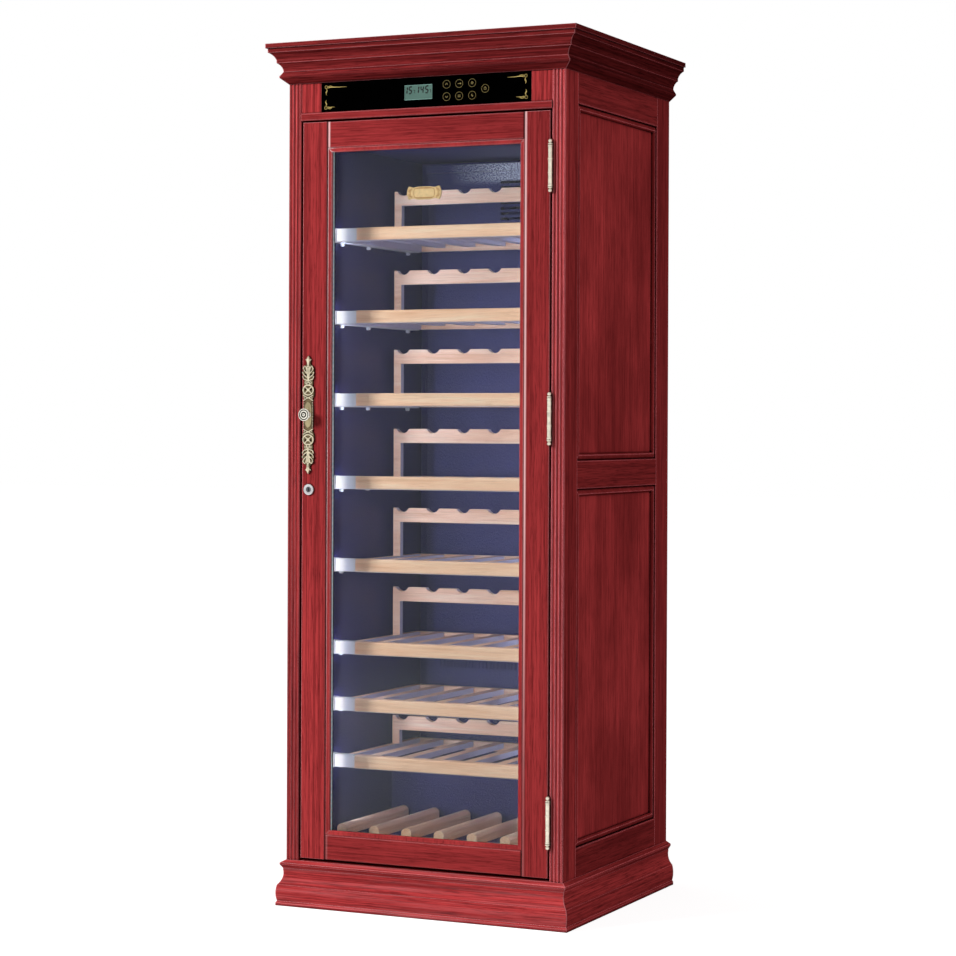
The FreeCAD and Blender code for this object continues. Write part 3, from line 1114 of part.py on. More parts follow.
def hinges():
    frame_leaves = []
    door_leaves = []
    pins = []
    end = "hinge_barrel / 2"
    tip = f"({end} + finial_length)"
    ball_foot = f"({tip} - finial_ball - sqrt(finial_ball^2 - finial_neck^2))"
    upper = [("finial_neck", end), ("finial_ring", f"{end} + 1"), ("finial_ring", f"{end} + 3"),
             ("finial_neck", f"{end} + 4")]
    profile = [("0", f"-({tip})"),
               ("finial_ball", f"-({tip} - finial_ball)", "finial_ball", 1),
               ("finial_neck", f"-{ball_foot}", "finial_ball", 1)]
    profile += [(radius, f"-({height})") for radius, height in reversed(upper)]
    profile += [("hinge_pin_radius", f"-({end})"), ("hinge_pin_radius", end)] + upper
    profile += [("finial_neck", ball_foot),
                ("finial_ball", f"{tip} - finial_ball", "finial_ball", 1),
                ("0", tip, "finial_ball", 1)]
    for number, level in enumerate(HINGE_LEVELS, start=1):
        low = f"({level} - {end})"
        high = f"({level} + {end})"
        frame_leaves.append(hinge_leaf(
            f"frame_leaf_{number}", (f"{CASE_IN} - hinge_leaf", CASE_IN), level,
            [(low, f"{low} + hinge_end_knuckle"), (f"{high} - hinge_end_knuckle", high)]))
        inset = "hinge_end_knuckle + knuckle_gap"
        door_leaves.append(hinge_leaf(
            f"door_leaf_{number}", (DOOR_HALF, f"{DOOR_HALF} + hinge_leaf"), level,
            [(f"{low} + {inset}", f"{high} - ({inset})")]))
        pins.append(place(turned(f"hinge_pin_{number}", profile), HINGE_X, "-hinge_forward",
                          level))
    sub_part("hinge_frame_leaves", *frame_leaves)
    sub_part("hinge_door_leaves", *door_leaves)
    sub_part("hinge_pins", *pins)


# Handle and lock

# Edge of the handle's plate above its middle: height, half width, and the bend that leads there
HANDLE_EDGE = [(26, 8, 98), (32, 7, None), (60, 7, 17.5), (78, 7, 12.2), (107, 6, 18.8),
               (111, 4, None)]
HANDLE_HOLES = [(6.2, 39, 2.6), (7.2, 47, 3), (6.2, 55, 2.4), (5, 69, 2.4), (6.4, 86, 2.8),
                (7, 94, 2.8), (5.4, 102, 2.2)]


def handle():
    upward = []
    for height, width, bend in HANDLE_EDGE:
        point = (str(width), str(height))
        upward.append(point if bend is None else point + (str(bend), 1))
    downward = [(str(width), f"-{height}") for height, width, _ in reversed(HANDLE_EDGE)]
    bends = [bend for _, _, bend in reversed(HANDLE_EDGE)]
    for index in range(1, len(downward)):
        if bends[index - 1] is not None:
            downward[index] = downward[index] + (str(bends[index - 1]), 1)
    right = [("0", "-handle_half")] + [downward[0] + ("14", 1)] + downward[1:] + upward
    left = [(f"-{width}", height, *rest) for width, height, *rest in mirrored_points(right)]
    plate = extruded("handle_plate_stock", "XZ_Plane",
                     right + [("0", "handle_half", "14", 1)] + left, "plate_thickness")
    place(plate, f"-{HANDLE_X}", "door_setback - plate_thickness / 2", HANDLE_Z)
    holes = []
    for index, (x, z, radius) in enumerate(HANDLE_HOLES):
        for column in (-1, 1):
            for row in (-1, 1):
                holes.append(rod(f"plate_hole_{index}_{column + 1}{row + 1}", str(radius),
                                 "plate_thickness + 2", "y", f"-{HANDLE_X} + {column * x}",
                                 "door_setback - plate_thickness - 1", f"{HANDLE_Z} + {row * z}"))
    sub_part("handle_plate", cut("handle_plate_cut", plate, together("plate_holes", *holes)))
    knob = turned("knob_body", [
        ("0", "0"), ("boss_radius", "0"), ("boss_radius", "2"), ("knob_neck", "boss_length"),
        ("knob_neck", "knob_reach - knob_face - 5"),
        ("knob_radius", "knob_reach - knob_face", "12", -1), ("knob_radius", "knob_reach - 3"),
        ("knob_radius - 3", "knob_reach", "3.2", 1), ("0", "knob_reach")])
    sub_part("handle_knob", place(knob, f"-{HANDLE_X}", "door_setback - plate_thickness", HANDLE_Z,
                                  FreeCAD.Vector(1, 0, 0), 90))


def mirrored_points(right):
    """The same points the other way round, so that each bend still belongs to its stretch."""
    turned_round = []
    points = list(reversed(right))
    for index, point in enumerate(points):
        if index == 0:
            bend = ()
        else:
            bend = points[index - 1][2:]
        turned_round.append((point[0], point[1], *bend))
    return turned_round[:-1]


# The cam pin's place at rest, low and to the right of the plug; a quarter turn takes it to the left
CAM_SWING = "(bolt_throw / sqrt(2))"
CAM_X = f"(bolt_throw / 2 - {LOCK_X})"
CAM_Z = f"({LOCK_MIDDLE} - bolt_throw / 2)"
CAM_BACK = f"({BOLT_FRONT} - 0.5)"
CAM_FRONT = f"({CASE_FRONT} + case_wall + cam_gap)"


def lock_plug():
    """A plug with a keyway, a cam disc inside the case, and the pin that moves the bolt."""
    stem = rod("plug_stem", "plug_radius", f"{CAM_FRONT} + 0.5 - {LOCK_FACE}", "y", f"-{LOCK_X}",
               LOCK_FACE, LOCK_MIDDLE)
    disc = rod("plug_cam", "cam_radius", f"{CAM_BACK} - {CAM_FRONT}", "y", f"-{LOCK_X}", CAM_FRONT,
               LOCK_MIDDLE)
    pin = rod("plug_cam_pin", "cam_pin_radius", "cam_pin_length", "y", CAM_X, f"{CAM_BACK} - 0.5",
              CAM_Z)
    keyway = block("keyway", (f"-{LOCK_X} - keyway_width / 2", f"-{LOCK_X} + keyway_width / 2"),
                   (f"{LOCK_FACE} - 1", f"{LOCK_FACE} + keyway_depth"),
                   (f"{LOCK_MIDDLE} - keyway_height / 2", f"{LOCK_MIDDLE} + keyway_height / 2"))
    return cut("plug_cut", joined("plug_whole", stem, disc, pin), keyway)


def lock_bolt():
    """The bolt, with an upright slot in its front for the cam pin."""
    z = (f"{LOCK_MIDDLE} - bolt_height / 2", f"{LOCK_MIDDLE} + bolt_height / 2")
    stock = block("bolt_stock",
                  mirrored(-1, f"{DOOR_HALF} - bolt_rest - bolt_length", f"{DOOR_HALF} - bolt_rest"),
                  (BOLT_FRONT, f"{BOLT_FRONT} + bolt_thickness"), z)
    half = "(cam_pin_radius + cam_pin_clearance)"
    slot = block("bolt_slot", (f"{CAM_X} - {half}", f"{CAM_X} + {half}"),
                 (f"{BOLT_FRONT} - 1", f"{BOLT_FRONT} + cam_pin_length"),
                 (f"{LOCK_MIDDLE} - {CAM_SWING} - cam_pin_radius - 1",
                  f"{CAM_Z} + cam_pin_radius + 1"))
    return cut("bolt_cut", stock, slot)


def lock():
    face_depth = f"({CASE_FRONT} - {LOCK_FACE})"
    rose = place(turned("lock_rose", [
        ("0", "0"), ("rose_radius", "0"), ("rose_radius", "rose_thickness * 0.4"),
        ("rose_radius - 2.5", "rose_thickness"), ("0", "rose_thickness")]),
        f"-{LOCK_X}", "door_setback", LOCK_MIDDLE, FreeCAD.Vector(1, 0, 0), 90)
    barrel = rod("lock_barrel", "barrel_radius", f"{face_depth} + case_wall - 0.5", "y", f"-{LOCK_X}",
                 f"{LOCK_FACE} + 0.5", LOCK_MIDDLE)
    case_x = mirrored(-1, f"{DOOR_HALF} - case_width", DOOR_HALF)
    case_y = (CASE_FRONT, f"{CASE_FRONT} + case_depth")
    case = block("case_box", case_x, case_y, LOCK_Z)
    room = block("case_room",
                 mirrored(-1, f"{DOOR_HALF} - case_width + case_wall", f"{DOOR_HALF} - case_wall"),
                 (f"{CASE_FRONT} + case_wall", f"{CASE_FRONT} + case_depth - case_wall"),
                 (f"{LOCK_Z[0]} + case_wall", f"{LOCK_Z[1]} - case_wall"))
    slot = block("case_slot", mirrored(-1, f"{DOOR_HALF} - case_wall - 1", f"{DOOR_HALF} + 1"),
                 BOLT_HOLE_Y, BOLT_HOLE_Z)
    bore = rod("plug_bore", "plug_radius + plug_clearance", f"{face_depth} + case_wall + 1", "y",
               f"-{LOCK_X}", f"{LOCK_FACE} - 0.5", LOCK_MIDDLE)
    sub_part("lock_case", cut("case_cut", joined("case_solid", rose, barrel, case), room, slot,
                              bore))
    sub_part("lock_plug", lock_plug())
    sub_part("lock_bolt", lock_bolt())
    strike = block("strike_sheet", mirrored(-1, f"{CASE_IN} - strike_plate", CASE_IN), STRIKE_Y,
                   STRIKE_Z)
    hole = block("strike_hole", mirrored(-1, f"{CASE_IN} - strike_plate - 1", f"{CASE_IN} + 1"),
                 BOLT_HOLE_Y, BOLT_HOLE_Z)
    sub_part("strike_plate", cut("strike_cut", strike, hole))


# The whole cabinet

corner_posts()
rear_stiles()
side_frames()
boards()
wrapped_moulding("cornice", CORNICE, "cornice_overhang")
wrapped_moulding("plinth", PLINTH, "base_overhang")
controls()
cavity()
lights()
shelving()
cooling()
machine_bay()
door_frame()
glazing()
hinges()
handle()
lock()
doc.recompute()

faults = [item.Label for item in doc.Objects
          if "Invalid" in item.State or "Error" in item.State]
for item in SUB_PARTS:
    if item.Shape.isNull() or not item.Shape.isValid() or not item.Shape.Solids:
        faults.append(item.Label)
if faults:
    raise RuntimeError(f"objects that failed: {sorted(set(faults))}")

os.makedirs("parts", exist_ok=True)
for item in SUB_PARTS:
    item.Shape.exportStep(f"parts/{item.Label}.step")
    print(f"{item.Label}: {len(item.Shape.Solids)} solids, {item.Shape.Volume / 1000:.1f} cm3")
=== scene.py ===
"""Wine cabinet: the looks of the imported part. Metres, in the part's frame: +Z up, -Y out of the front."""
import math

import bmesh
import bpy
from mathutils import Matrix, Vector


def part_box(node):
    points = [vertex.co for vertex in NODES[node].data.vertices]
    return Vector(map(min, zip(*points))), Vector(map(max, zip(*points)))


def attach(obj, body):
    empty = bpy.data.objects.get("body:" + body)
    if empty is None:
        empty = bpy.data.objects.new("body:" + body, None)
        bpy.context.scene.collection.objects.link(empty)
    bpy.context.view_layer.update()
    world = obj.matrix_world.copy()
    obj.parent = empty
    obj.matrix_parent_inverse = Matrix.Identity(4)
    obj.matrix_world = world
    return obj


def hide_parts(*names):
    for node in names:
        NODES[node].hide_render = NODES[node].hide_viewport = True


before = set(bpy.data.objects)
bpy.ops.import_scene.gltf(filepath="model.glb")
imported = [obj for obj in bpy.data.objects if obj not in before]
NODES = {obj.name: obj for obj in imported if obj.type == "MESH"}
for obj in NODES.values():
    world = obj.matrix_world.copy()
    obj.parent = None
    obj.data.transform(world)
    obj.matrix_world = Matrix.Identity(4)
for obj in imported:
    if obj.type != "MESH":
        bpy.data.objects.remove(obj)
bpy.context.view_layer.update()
MM = 0.001


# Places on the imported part, in metres

GROOVE_OFFSET = 0.2 * MM            # from the door rails' ends to the middle of the V beside them
PALE_BAR_DEPTH = 7.15 * MM          # how much of the glass spacer is in front of its black seal
RAIL_END_LENGTH = 53 * MM           # of a shelf's front rail, past the end of its facing
SHELF_FRONT_DEPTH = 27.15 * MM      # of a shelf's facing and front rail together

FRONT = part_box("post_left")[0].y    # the front face of the corner posts
STILE_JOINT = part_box("door_rails")[1].x + GROOVE_OFFSET
SEAL_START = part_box("glass_spacer")[0].y + PALE_BAR_DEPTH
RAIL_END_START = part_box("shelf_1")[1].x - RAIL_END_LENGTH
SHELF_RAIL_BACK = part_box("shelf_1")[0].y + SHELF_FRONT_DEPTH


def at(x, d, z):
    """A place in millimetres, with d counted back from the posts' front face."""
    return Vector((x * MM, FRONT + d * MM, z * MM))


def corners(node):
    """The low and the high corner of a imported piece, as (x, d, z) in millimetres."""
    return [Vector((corner.x, corner.y - FRONT, corner.z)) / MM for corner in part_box(node)]


def centre(node):
    low, high = corners(node)
    return (low + high) / 2


# Shader nodes

class Shader:
    """A material's node tree, with short calls for the nodes that the finishes share."""

    def __init__(self, name):
        self.material = bpy.data.materials.new(name)
        self.material.use_nodes = True
        self.tree = self.material.node_tree
        self.surface = self.tree.nodes["Principled BSDF"]
        self.output = self.tree.nodes["Material Output"]

    def add(self, kind, settings=None, **inputs):
        """A new node. An input is named as in Blender, with _ for a space."""
        node = self.tree.nodes.new(kind)
        for name, value in (settings or {}).items():
            setattr(node, name, value)
        for name, value in inputs.items():
            self.feed(node.inputs[name.replace("_", " ")], value)
        return node

    def feed(self, socket, value):
        """Link a socket to another node's output, or set its own value."""
        if isinstance(value, bpy.types.NodeSocket):
            self.tree.links.new(value, socket)
        else:
            socket.default_value = value

    def set(self, **inputs):
        for name, value in inputs.items():
            self.feed(self.surface.inputs[name.replace("_", " ")], value)

    def math(self, operation, first, second=0.0):
        node = self.add("ShaderNodeMath", {"operation": operation})
        self.feed(node.inputs[0], first)
        self.feed(node.inputs[1], second)
        return node.outputs[0]

    def times(self, first, second):
        return self.math("MULTIPLY", first, second)

    def plus(self, first, second):
        return self.math("ADD", first, second)

    def minus(self, first, second):
        return self.math("SUBTRACT", first, second)

    def vector_math(self, operation, output, *values):
        node = self.add("ShaderNodeVectorMath", {"operation": operation})
        for socket, value in zip(node.inputs, values):
            self.feed(socket, value)
        return node.outputs[output]

    def position(self):
        """The place on the piece in the part's frame, which rides with its body."""
        return self.add("ShaderNodeTexCoord").outputs["Object"]

    def coordinate(self, axis):
        return self.add("ShaderNodeSeparateXYZ", Vector=self.position()).outputs[axis]

    def away_from_middle(self):
        """The distance from the plane that halves the cabinet."""
        return self.math("ABSOLUTE", self.coordinate("X"))

    def by_height(self, low, low_value, high, high_value):
        """A value that changes between two heights, halved to fit a ramp's 0 to 1."""
        half_height = self.times(self.coordinate("Z"), 0.5)
        return self.ramp(half_height, (low / 2, low_value), (high / 2, high_value))

    def noise(self, scale, detail, roughness=0.5, distortion=0.0, offset=(0, 0, 0)):
        """Noise of so many waves per metre along each axis."""
        where = self.add("ShaderNodeMapping", Vector=self.position(), Scale=scale,
                         Location=offset).outputs[0]
        return self.add("ShaderNodeTexNoise", Vector=where, Scale=1.0, Detail=detail,
                        Roughness=roughness, Distortion=distortion).outputs["Fac"]

    def even_noise(self, scale, detail, roughness=0.5):
        return self.noise((scale, scale, scale), detail, roughness)

    def level_bands(self, scale, distortion):
        return self.add("ShaderNodeTexWave", {"wave_type": "BANDS", "bands_direction": "Z"},
                        Vector=self.position(), Scale=scale, Distortion=distortion).outputs["Fac"]

    def ramp(self, value, *stops):
        """A colour or grey ramp of (position, colour) stops."""
        node = self.add("ShaderNodeValToRGB", Fac=value)
        elements = node.color_ramp.elements
        while len(elements) < len(stops):
            elements.new(0.5)
        for element, (position, colour) in zip(elements, stops):
            element.position = position
            grey = isinstance(colour, (int, float))
            element.color = (colour, colour, colour, 1) if grey else (*colour, 1)
        return node.outputs["Color"]

    def mix(self, factor, first, second):
        """The first colour where the factor is 0 and the second where it is 1."""
        node = self.add("ShaderNodeMix", {"data_type": "RGBA"})
        self.feed(node.inputs[0], factor)
        for socket, colour in ((node.inputs[6], first), (node.inputs[7], second)):
            linked = isinstance(colour, bpy.types.NodeSocket)
            self.feed(socket, colour if linked else (*colour, 1))
        return node.outputs[2]

    def bump(self, height, strength, distance, normal=None):
        node = self.add("ShaderNodeBump", Strength=strength, Distance=distance, Height=height)
        if normal is not None:
            self.feed(node.inputs["Normal"], normal)
        return node.outputs[0]

    def edges(self, radius, low, high):
        """0 on flat faces and 1 on edges, and the normal of the rounded edge."""
        rounded = self.add("ShaderNodeBevel", {"samples": 4}, Radius=radius).outputs[0]
        true = self.add("ShaderNodeNewGeometry").outputs["True Normal"]
        same = self.vector_math("DOT_PRODUCT", "Value", rounded, true)
        return self.ramp(self.minus(1.0, same), (low, 0.0), (high, 1.0)), rounded

    def hollows(self, distance, low, high):
        """1 deep in a corner or groove and 0 in the open."""
        open_sky = self.add("ShaderNodeAmbientOcclusion", {"samples": 6},
                            Distance=distance).outputs["AO"]
        return self.ramp(open_sky, (low, 1.0), (high, 0.0))


def toned(colour, share):
    return tuple(share * part for part in colour)


# Stained oak

LIGHT_STAIN = (0.50, 0.050, 0.052)
MID_STAIN = (0.33, 0.031, 0.033)
DARK_STAIN = (0.045, 0.004, 0.005)
# Painted highlights: pale colours laid on edges, crests and seams where the light catches them
PAINTED_EDGE_HIGHLIGHT = (0.94, 0.36, 0.38)
SIDE_PAINTED_HIGHLIGHT = (1.0, 0.24, 0.27)
POST_PAINTED_HIGHLIGHT = (1.0, 0.30, 0.33)
BEAD_PAINTED_HIGHLIGHT = (1.0, 0.82, 0.84)
GROOVE_PAINTED_HIGHLIGHT = (1.0, 0.62, 0.62)

BEAD_WIDTH = 17 * MM
BEAD_SHADED = 0.22      # the share of the bead's painted crest highlight that shows away from its left length
HIGHLIGHT_SPREAD = 7.5       # from where an edge's painted highlight starts to show to where it is full

# Waves per metre along the grain and across it
BROAD_TONE = (1.6, 14)
RINGS = (1.6, 190)
PORES = (16, 520)
# the bands of painted sheen
SHEEN_WAVES = (3.0, 120)


def grain(look, axis, waves, drift, detail, roughness, distortion=0.0):
    """Noise drawn out along one axis, from its waves per metre along the grain and across it."""
    along, across = waves
    scale = tuple(along if letter == axis else across for letter in "xyz")
    return look.noise(scale, detail, roughness, distortion, drift)


def highlight_by_height(look):
    """How much of a painted highlight shows: little near the floor and all of it from chest height."""
    return look.by_height(0.26, 0.15, 0.90, 1.0)


def bead_crest_highlight(look, edge_wear_and_highlight):
    """The painted highlight on the crest of the bead round the glass, full on its left length."""
    from_joint = look.plus(look.coordinate("X"), STILE_JOINT)
    on_left = look.ramp(from_joint, (BEAD_WIDTH - 3 * MM, 1.0), (BEAD_WIDTH, BEAD_SHADED))
    return look.times(edge_wear_and_highlight, look.times(on_left, highlight_by_height(look)))


def joint_groove(look, colour, dark):
    """The V between a door stile and the rails: a dark line, with a painted highlight on the crest on its
    right.
    """
    x = look.coordinate("X")
    past_joint = look.minus(x, look.times(look.math("SIGN", x), STILE_JOINT))
    seam = look.ramp(look.math("ABSOLUTE", past_joint), (1.0 * MM, 1.0), (1.8 * MM, 0.0))
    # a painted highlight on the crest right of the seam, fading towards the floor
    crest = look.ramp(past_joint, (1.2 * MM, 0.0), (1.8 * MM, 1.0), (3.8 * MM, 1.0), (4.6 * MM, 0.0))
    colour = look.mix(look.times(crest, highlight_by_height(look)), colour, GROOVE_PAINTED_HIGHLIGHT)
    return look.mix(seam, colour, dark)


def stained_oak(name, axis, tone=1.0, pores=1.0, edge_highlight_share=0.7, highlight_colour=PAINTED_EDGE_HIGHLIGHT, seed=0.0, blotch=0.0,
                painted_sheen=0.0, contrast=0.17, edge=2.2 * MM, highlight_from=0.012, painted_shade_by_height=None, bead=False,
                joint=False):
    """Cherry-stained open-pored oak, its grain along one axis, with painted highlights along the edges
    and painted shade in its corners.

    blotch is the strength of dark clouds and haze that of pale bands of painted sheen. dusk is the
    height where painted shade starts to darken the wood, the height where it is darkest, and how dark
    that is.
    """
    light, mid, dark = (toned(stain, tone) for stain in (LIGHT_STAIN, MID_STAIN, DARK_STAIN))
    look = Shader(name)
    drift = (seed, seed * 1.7, seed * 0.6)
    broad = grain(look, axis, BROAD_TONE, drift, 3, 0.55, 0.4)
    rings = grain(look, axis, RINGS, drift, 4, 0.6, 0.25)
    fine = grain(look, axis, PORES, drift, 3, 0.7)
    colour = look.ramp(broad, (0.49 - contrast, mid), (0.49 + contrast, light))
    if blotch:
        cloud = look.noise((7, 7, 5), 3, 0.5, offset=drift)
        dim = look.ramp(cloud, (0.38, 1.0), (0.62, 0.0))
        colour = look.mix(look.times(dim, blotch), colour, toned(mid, 0.45))
    ring = look.ramp(rings, (0.44, 0.0), (0.60, 1.0))
    colour = look.mix(look.times(ring, 0.55 * pores), colour, dark)
    pore = look.ramp(fine, (0.50, 0.0), (0.62, 1.0))
    colour = look.mix(look.times(pore, 0.35 + 0.25 * pores), colour, dark)
    # pale bands of painted sheen along the grain
    if painted_sheen:
        sheen_band = grain(look, axis, SHEEN_WAVES, drift, 4, 0.6)
        colour = look.mix(look.ramp(sheen_band, (0.46, 0.0), (0.66, painted_sheen)), colour, highlight_colour)
    # painted shade, darkening the wood from one height up to another
    if painted_shade_by_height:
        start, end, darkest = painted_shade_by_height
        colour = look.mix(look.by_height(start, 0.0, end, darkest), colour, dark)
    # painted highlights along the edges
    edge_wear_and_highlight, rounded = look.edges(edge, highlight_from, highlight_from * HIGHLIGHT_SPREAD)
    if bead:
        edge_wear_and_highlight = bead_crest_highlight(look, edge_wear_and_highlight)
    colour = look.mix(look.times(edge_wear_and_highlight, edge_highlight_share), colour, highlight_colour)
    # painted shade in the corners and grooves
    colour = look.mix(look.hollows(6 * MM, 0.56, 0.84), colour, toned(dark, 0.5))
    if joint:
        colour = joint_groove(look, colour, dark)
    relief = look.times(look.plus(pore, ring), -1.0)
    look.set(Base_Color=colour, Roughness=look.plus(look.times(pore, 0.22), 0.34),
             Normal=look.bump(relief, 0.35, 0.4 * MM, rounded), Specular_IOR_Level=0.0)
    return look.material


# Beech

BEECH_DARK = (0.92, 0.53, 0.33)
BEECH_MID = (1.0, 0.65, 0.44)
BEECH_LIGHT = (1.0, 0.75, 0.55)
BEECH_FLECK = (0.52, 0.25, 0.12)
BEECH_STREAK = (0.66, 0.34, 0.18)
# painted cold light from the light strips, on a shelf's down-facing and side faces
PAINTED_COLD_LIGHT = (0.50, 0.56, 0.78)

# Waves per metre along the grain and across it
BEECH_TONE = (4, 60)
BEECH_FLECKS = (40, 900)
BEECH_FIGURES = (7, 230)


def painted_cold_light_faces(look):
    """Where painted cold light falls: 0 on faces that look up or to the front, and most of 1 on those that
    look down or sideways.
    """
    normal = look.add("ShaderNodeNewGeometry").outputs["Normal"]
    part = look.add("ShaderNodeSeparateXYZ", Vector=normal).outputs
    sideways = look.math("ABSOLUTE", part["X"])
    down = look.times(part["Z"], -1.0)
    return look.ramp(look.math("MAXIMUM", sideways, down), (0.4, 0.0), (0.9, 0.8))


def painted_strip_light_ends(look, colour):
    """The ends of the shelves' front rails, with painted light from the light strips that turns them from
    grey to white.
    """
    away = look.away_from_middle()
    in_front = look.math("LESS_THAN", look.coordinate("Y"), SHELF_RAIL_BACK)
    end = look.times(look.ramp(away, (RAIL_END_START, 0.0), (RAIL_END_START + 1 * MM, 1.0)), in_front)
    strip_light_tone = look.ramp(away, (RAIL_END_START, (0.52, 0.55, 0.60)), (RAIL_END_START + 25 * MM, (0.66, 0.72, 0.84)),
                       (RAIL_END_START + 36 * MM, (1.0, 1.0, 1.0)))
    return look.mix(end, colour, strip_light_tone)


def beech(name, axis, seed, shelf=False):
    """Clear-lacquered pale hardwood with fine flecks; a shelf gets painted cold light on its faces that
    look down or sideways, and painted strip light on its rails' ends.
    """
    look = Shader(name)
    drift = (seed, seed * 0.7, seed * 1.3)
    broad = grain(look, axis, BEECH_TONE, drift, 4, 0.6, 0.8)
    fine = grain(look, axis, BEECH_FLECKS, drift, 3, 0.7)
    figure = grain(look, axis, BEECH_FIGURES, drift, 3, 0.6, 0.5)
    colour = look.ramp(broad, (0.30, BEECH_DARK), (0.52, BEECH_MID), (0.72, BEECH_LIGHT))
    fleck = look.ramp(fine, (0.54, 0.0), (0.66, 1.0))
    colour = look.mix(look.times(fleck, 0.38), colour, BEECH_FLECK)
    colour = look.mix(look.ramp(figure, (0.50, 0.0), (0.66, 0.38)), colour, BEECH_STREAK)
    if shelf:
        # painted cold light from the light strips
        colour = look.mix(painted_cold_light_faces(look), colour, PAINTED_COLD_LIGHT)
        # painted strip light on the rails' ends
        colour = painted_strip_light_ends(look, colour)
    rounded = look.edges(1.2 * MM, 0.02, 0.2)[1]
    look.set(Base_Color=colour, Roughness=0.42, Normal=look.bump(broad, 0.12, 0.4 * MM, rounded),
             Coat_Weight=0.2, Coat_Roughness=0.25)
    return look.material


# Boards, sheets and foam

def fibreboard(name):
    look = Shader(name)
    fibres = look.even_noise(420, 4, 0.7)
    broad = look.even_noise(9, 2)
    colour = look.mix(look.times(broad, 0.6), (0.27, 0.165, 0.09), (0.36, 0.23, 0.135))
    colour = look.mix(look.ramp(fibres, (0.45, 0.0), (0.7, 0.55)), colour, (0.16, 0.09, 0.05))
    look.set(Base_Color=colour, Roughness=0.8, Normal=look.bump(fibres, 0.25, 0.6 * MM))
    return look.material


def stucco(name, colour, emboss=1.0, metallic=0.0):
    """Embossed sheet metal, as refrigerators are lined with."""
    look = Shader(name)
    cells = look.add("ShaderNodeTexVoronoi", {"feature": "SMOOTH_F1"}, Vector=look.position(),
                     Scale=210.0, Randomness=0.9).outputs["Distance"]
    tone = look.mix(look.even_noise(3, 2), toned(colour, 0.8), toned(colour, 1.25))
    tone = look.mix(look.ramp(cells, (0.1, 0.0), (0.7, 0.35)), tone, toned(colour, 2.0))
    look.set(Base_Color=tone, Metallic=metallic, Roughness=0.38, Specular_IOR_Level=0.1,
             Normal=look.bump(cells, 0.5 * emboss, 0.9 * MM))
    return look, tone


def liner_sheet():
    return stucco("liner_stucco", (0.034, 0.030, 0.100))[0].material


def duct_sheet():
    """The duct's cover, with a painted glint at its upper right where the light strip rakes it."""
    look, tone = stucco("duct_sheet", (0.060, 0.060, 0.150), 1.4, 0.3)
    low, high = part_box("duct_cover")
    fine_speckle = look.ramp(look.even_noise(330, 2, 0.6), (0.44, 0.0), (0.54, 1.0))
    from_left = look.minus(look.coordinate("X"), low.x)
    rightward = look.ramp(from_left, (56 * MM, 0.0), (196 * MM, 1.0))
    from_top = look.minus(high.z, look.coordinate("Z"))
    upward = look.ramp(from_top, (34 * MM, 1.0), (48 * MM, 0.0))
    # a painted glint where the light strip rakes the cover
    painted_glint = look.times(look.times(rightward, upward), fine_speckle)
    look.set(Base_Color=look.mix(look.times(painted_glint, 0.9), tone, (0.90, 0.95, 1.0)))
    return look.material


def sheet_metal(name, colour, metallic, roughness):
    """Painted or plated sheet with slight orange peel and handling marks."""
    look = Shader(name)
    peel = look.even_noise(380, 2)
    marks = look.even_noise(14, 5, 0.65)
    rounded = look.edges(0.8 * MM, 0.02, 0.2)[1]
    look.set(Base_Color=look.mix(look.times(marks, 0.24), colour, toned(colour, 0.6)),
             Metallic=metallic, Roughness=look.plus(look.times(marks, 0.2), roughness - 0.1),
             Normal=look.bump(peel, 0.08, 0.4 * MM, rounded))
    return look.material


def spacer_bar():
    """A pale perforated bar with a black seal behind it."""
    look = Shader("spacer_bar")
    pale = look.mix(look.level_bands(26.0, 0.6), (0.66, 0.86, 0.86), (1.0, 1.0, 1.0))
    seal = look.math("GREATER_THAN", look.coordinate("Y"), SEAL_START)
    look.set(Base_Color=look.mix(seal, pale, (0.02, 0.02, 0.03)), Roughness=0.45,
             Specular_IOR_Level=0.1)
    return look.material


def rubbery(name, colour, roughness=0.6):
    """Moulded plastic or rubber with a fine grain and a little dust."""
    look = Shader(name)
    fine_speckle = look.even_noise(700, 3, 0.7)
    dust = look.even_noise(22, 4, 0.6)
    dusty = tuple(2 * part + 0.01 for part in colour)
    look.set(Base_Color=look.mix(look.ramp(dust, (0.45, 0.0), (0.8, 0.5)), colour, dusty),
             Roughness=roughness, Normal=look.bump(fine_speckle, 0.12, 0.3 * MM))
    return look.material


def wall_foam():
    look = Shader("wall_foam")
    cells = look.even_noise(260, 4, 0.7)
    look.set(Base_Color=look.mix(cells, (0.62, 0.50, 0.22), (0.85, 0.76, 0.48)), Roughness=0.9,
             Normal=look.bump(cells, 0.5, 1 * MM))
    return look.material


# Brass

def aged_brass(name, pale, deep, roughness=0.3, even=0.65):
    """Old gilt: dark in the hollows, polished bright on the ridges by use."""
    look = Shader(name)
    cloud = look.even_noise(120, 4, 0.65)
    edge_wear_and_highlight, rounded = look.edges(0.7 * MM, 0.01, 0.12)
    tone = look.ramp(cloud, (0.30, toned(pale, even)), (0.62, pale))
    tone = look.mix(look.hollows(5 * MM, 0.34, 0.90), tone, deep)
    tone = look.mix(look.times(edge_wear_and_highlight, 0.7), tone, tuple(min(1, 1.25 * part) for part in pale))
    look.set(Base_Color=tone, Metallic=0.9,
             Roughness=look.plus(look.times(cloud, 0.3), roughness - 0.1),
             Normal=look.bump(cloud, 0.15, 0.3 * MM, rounded))
    return look.material


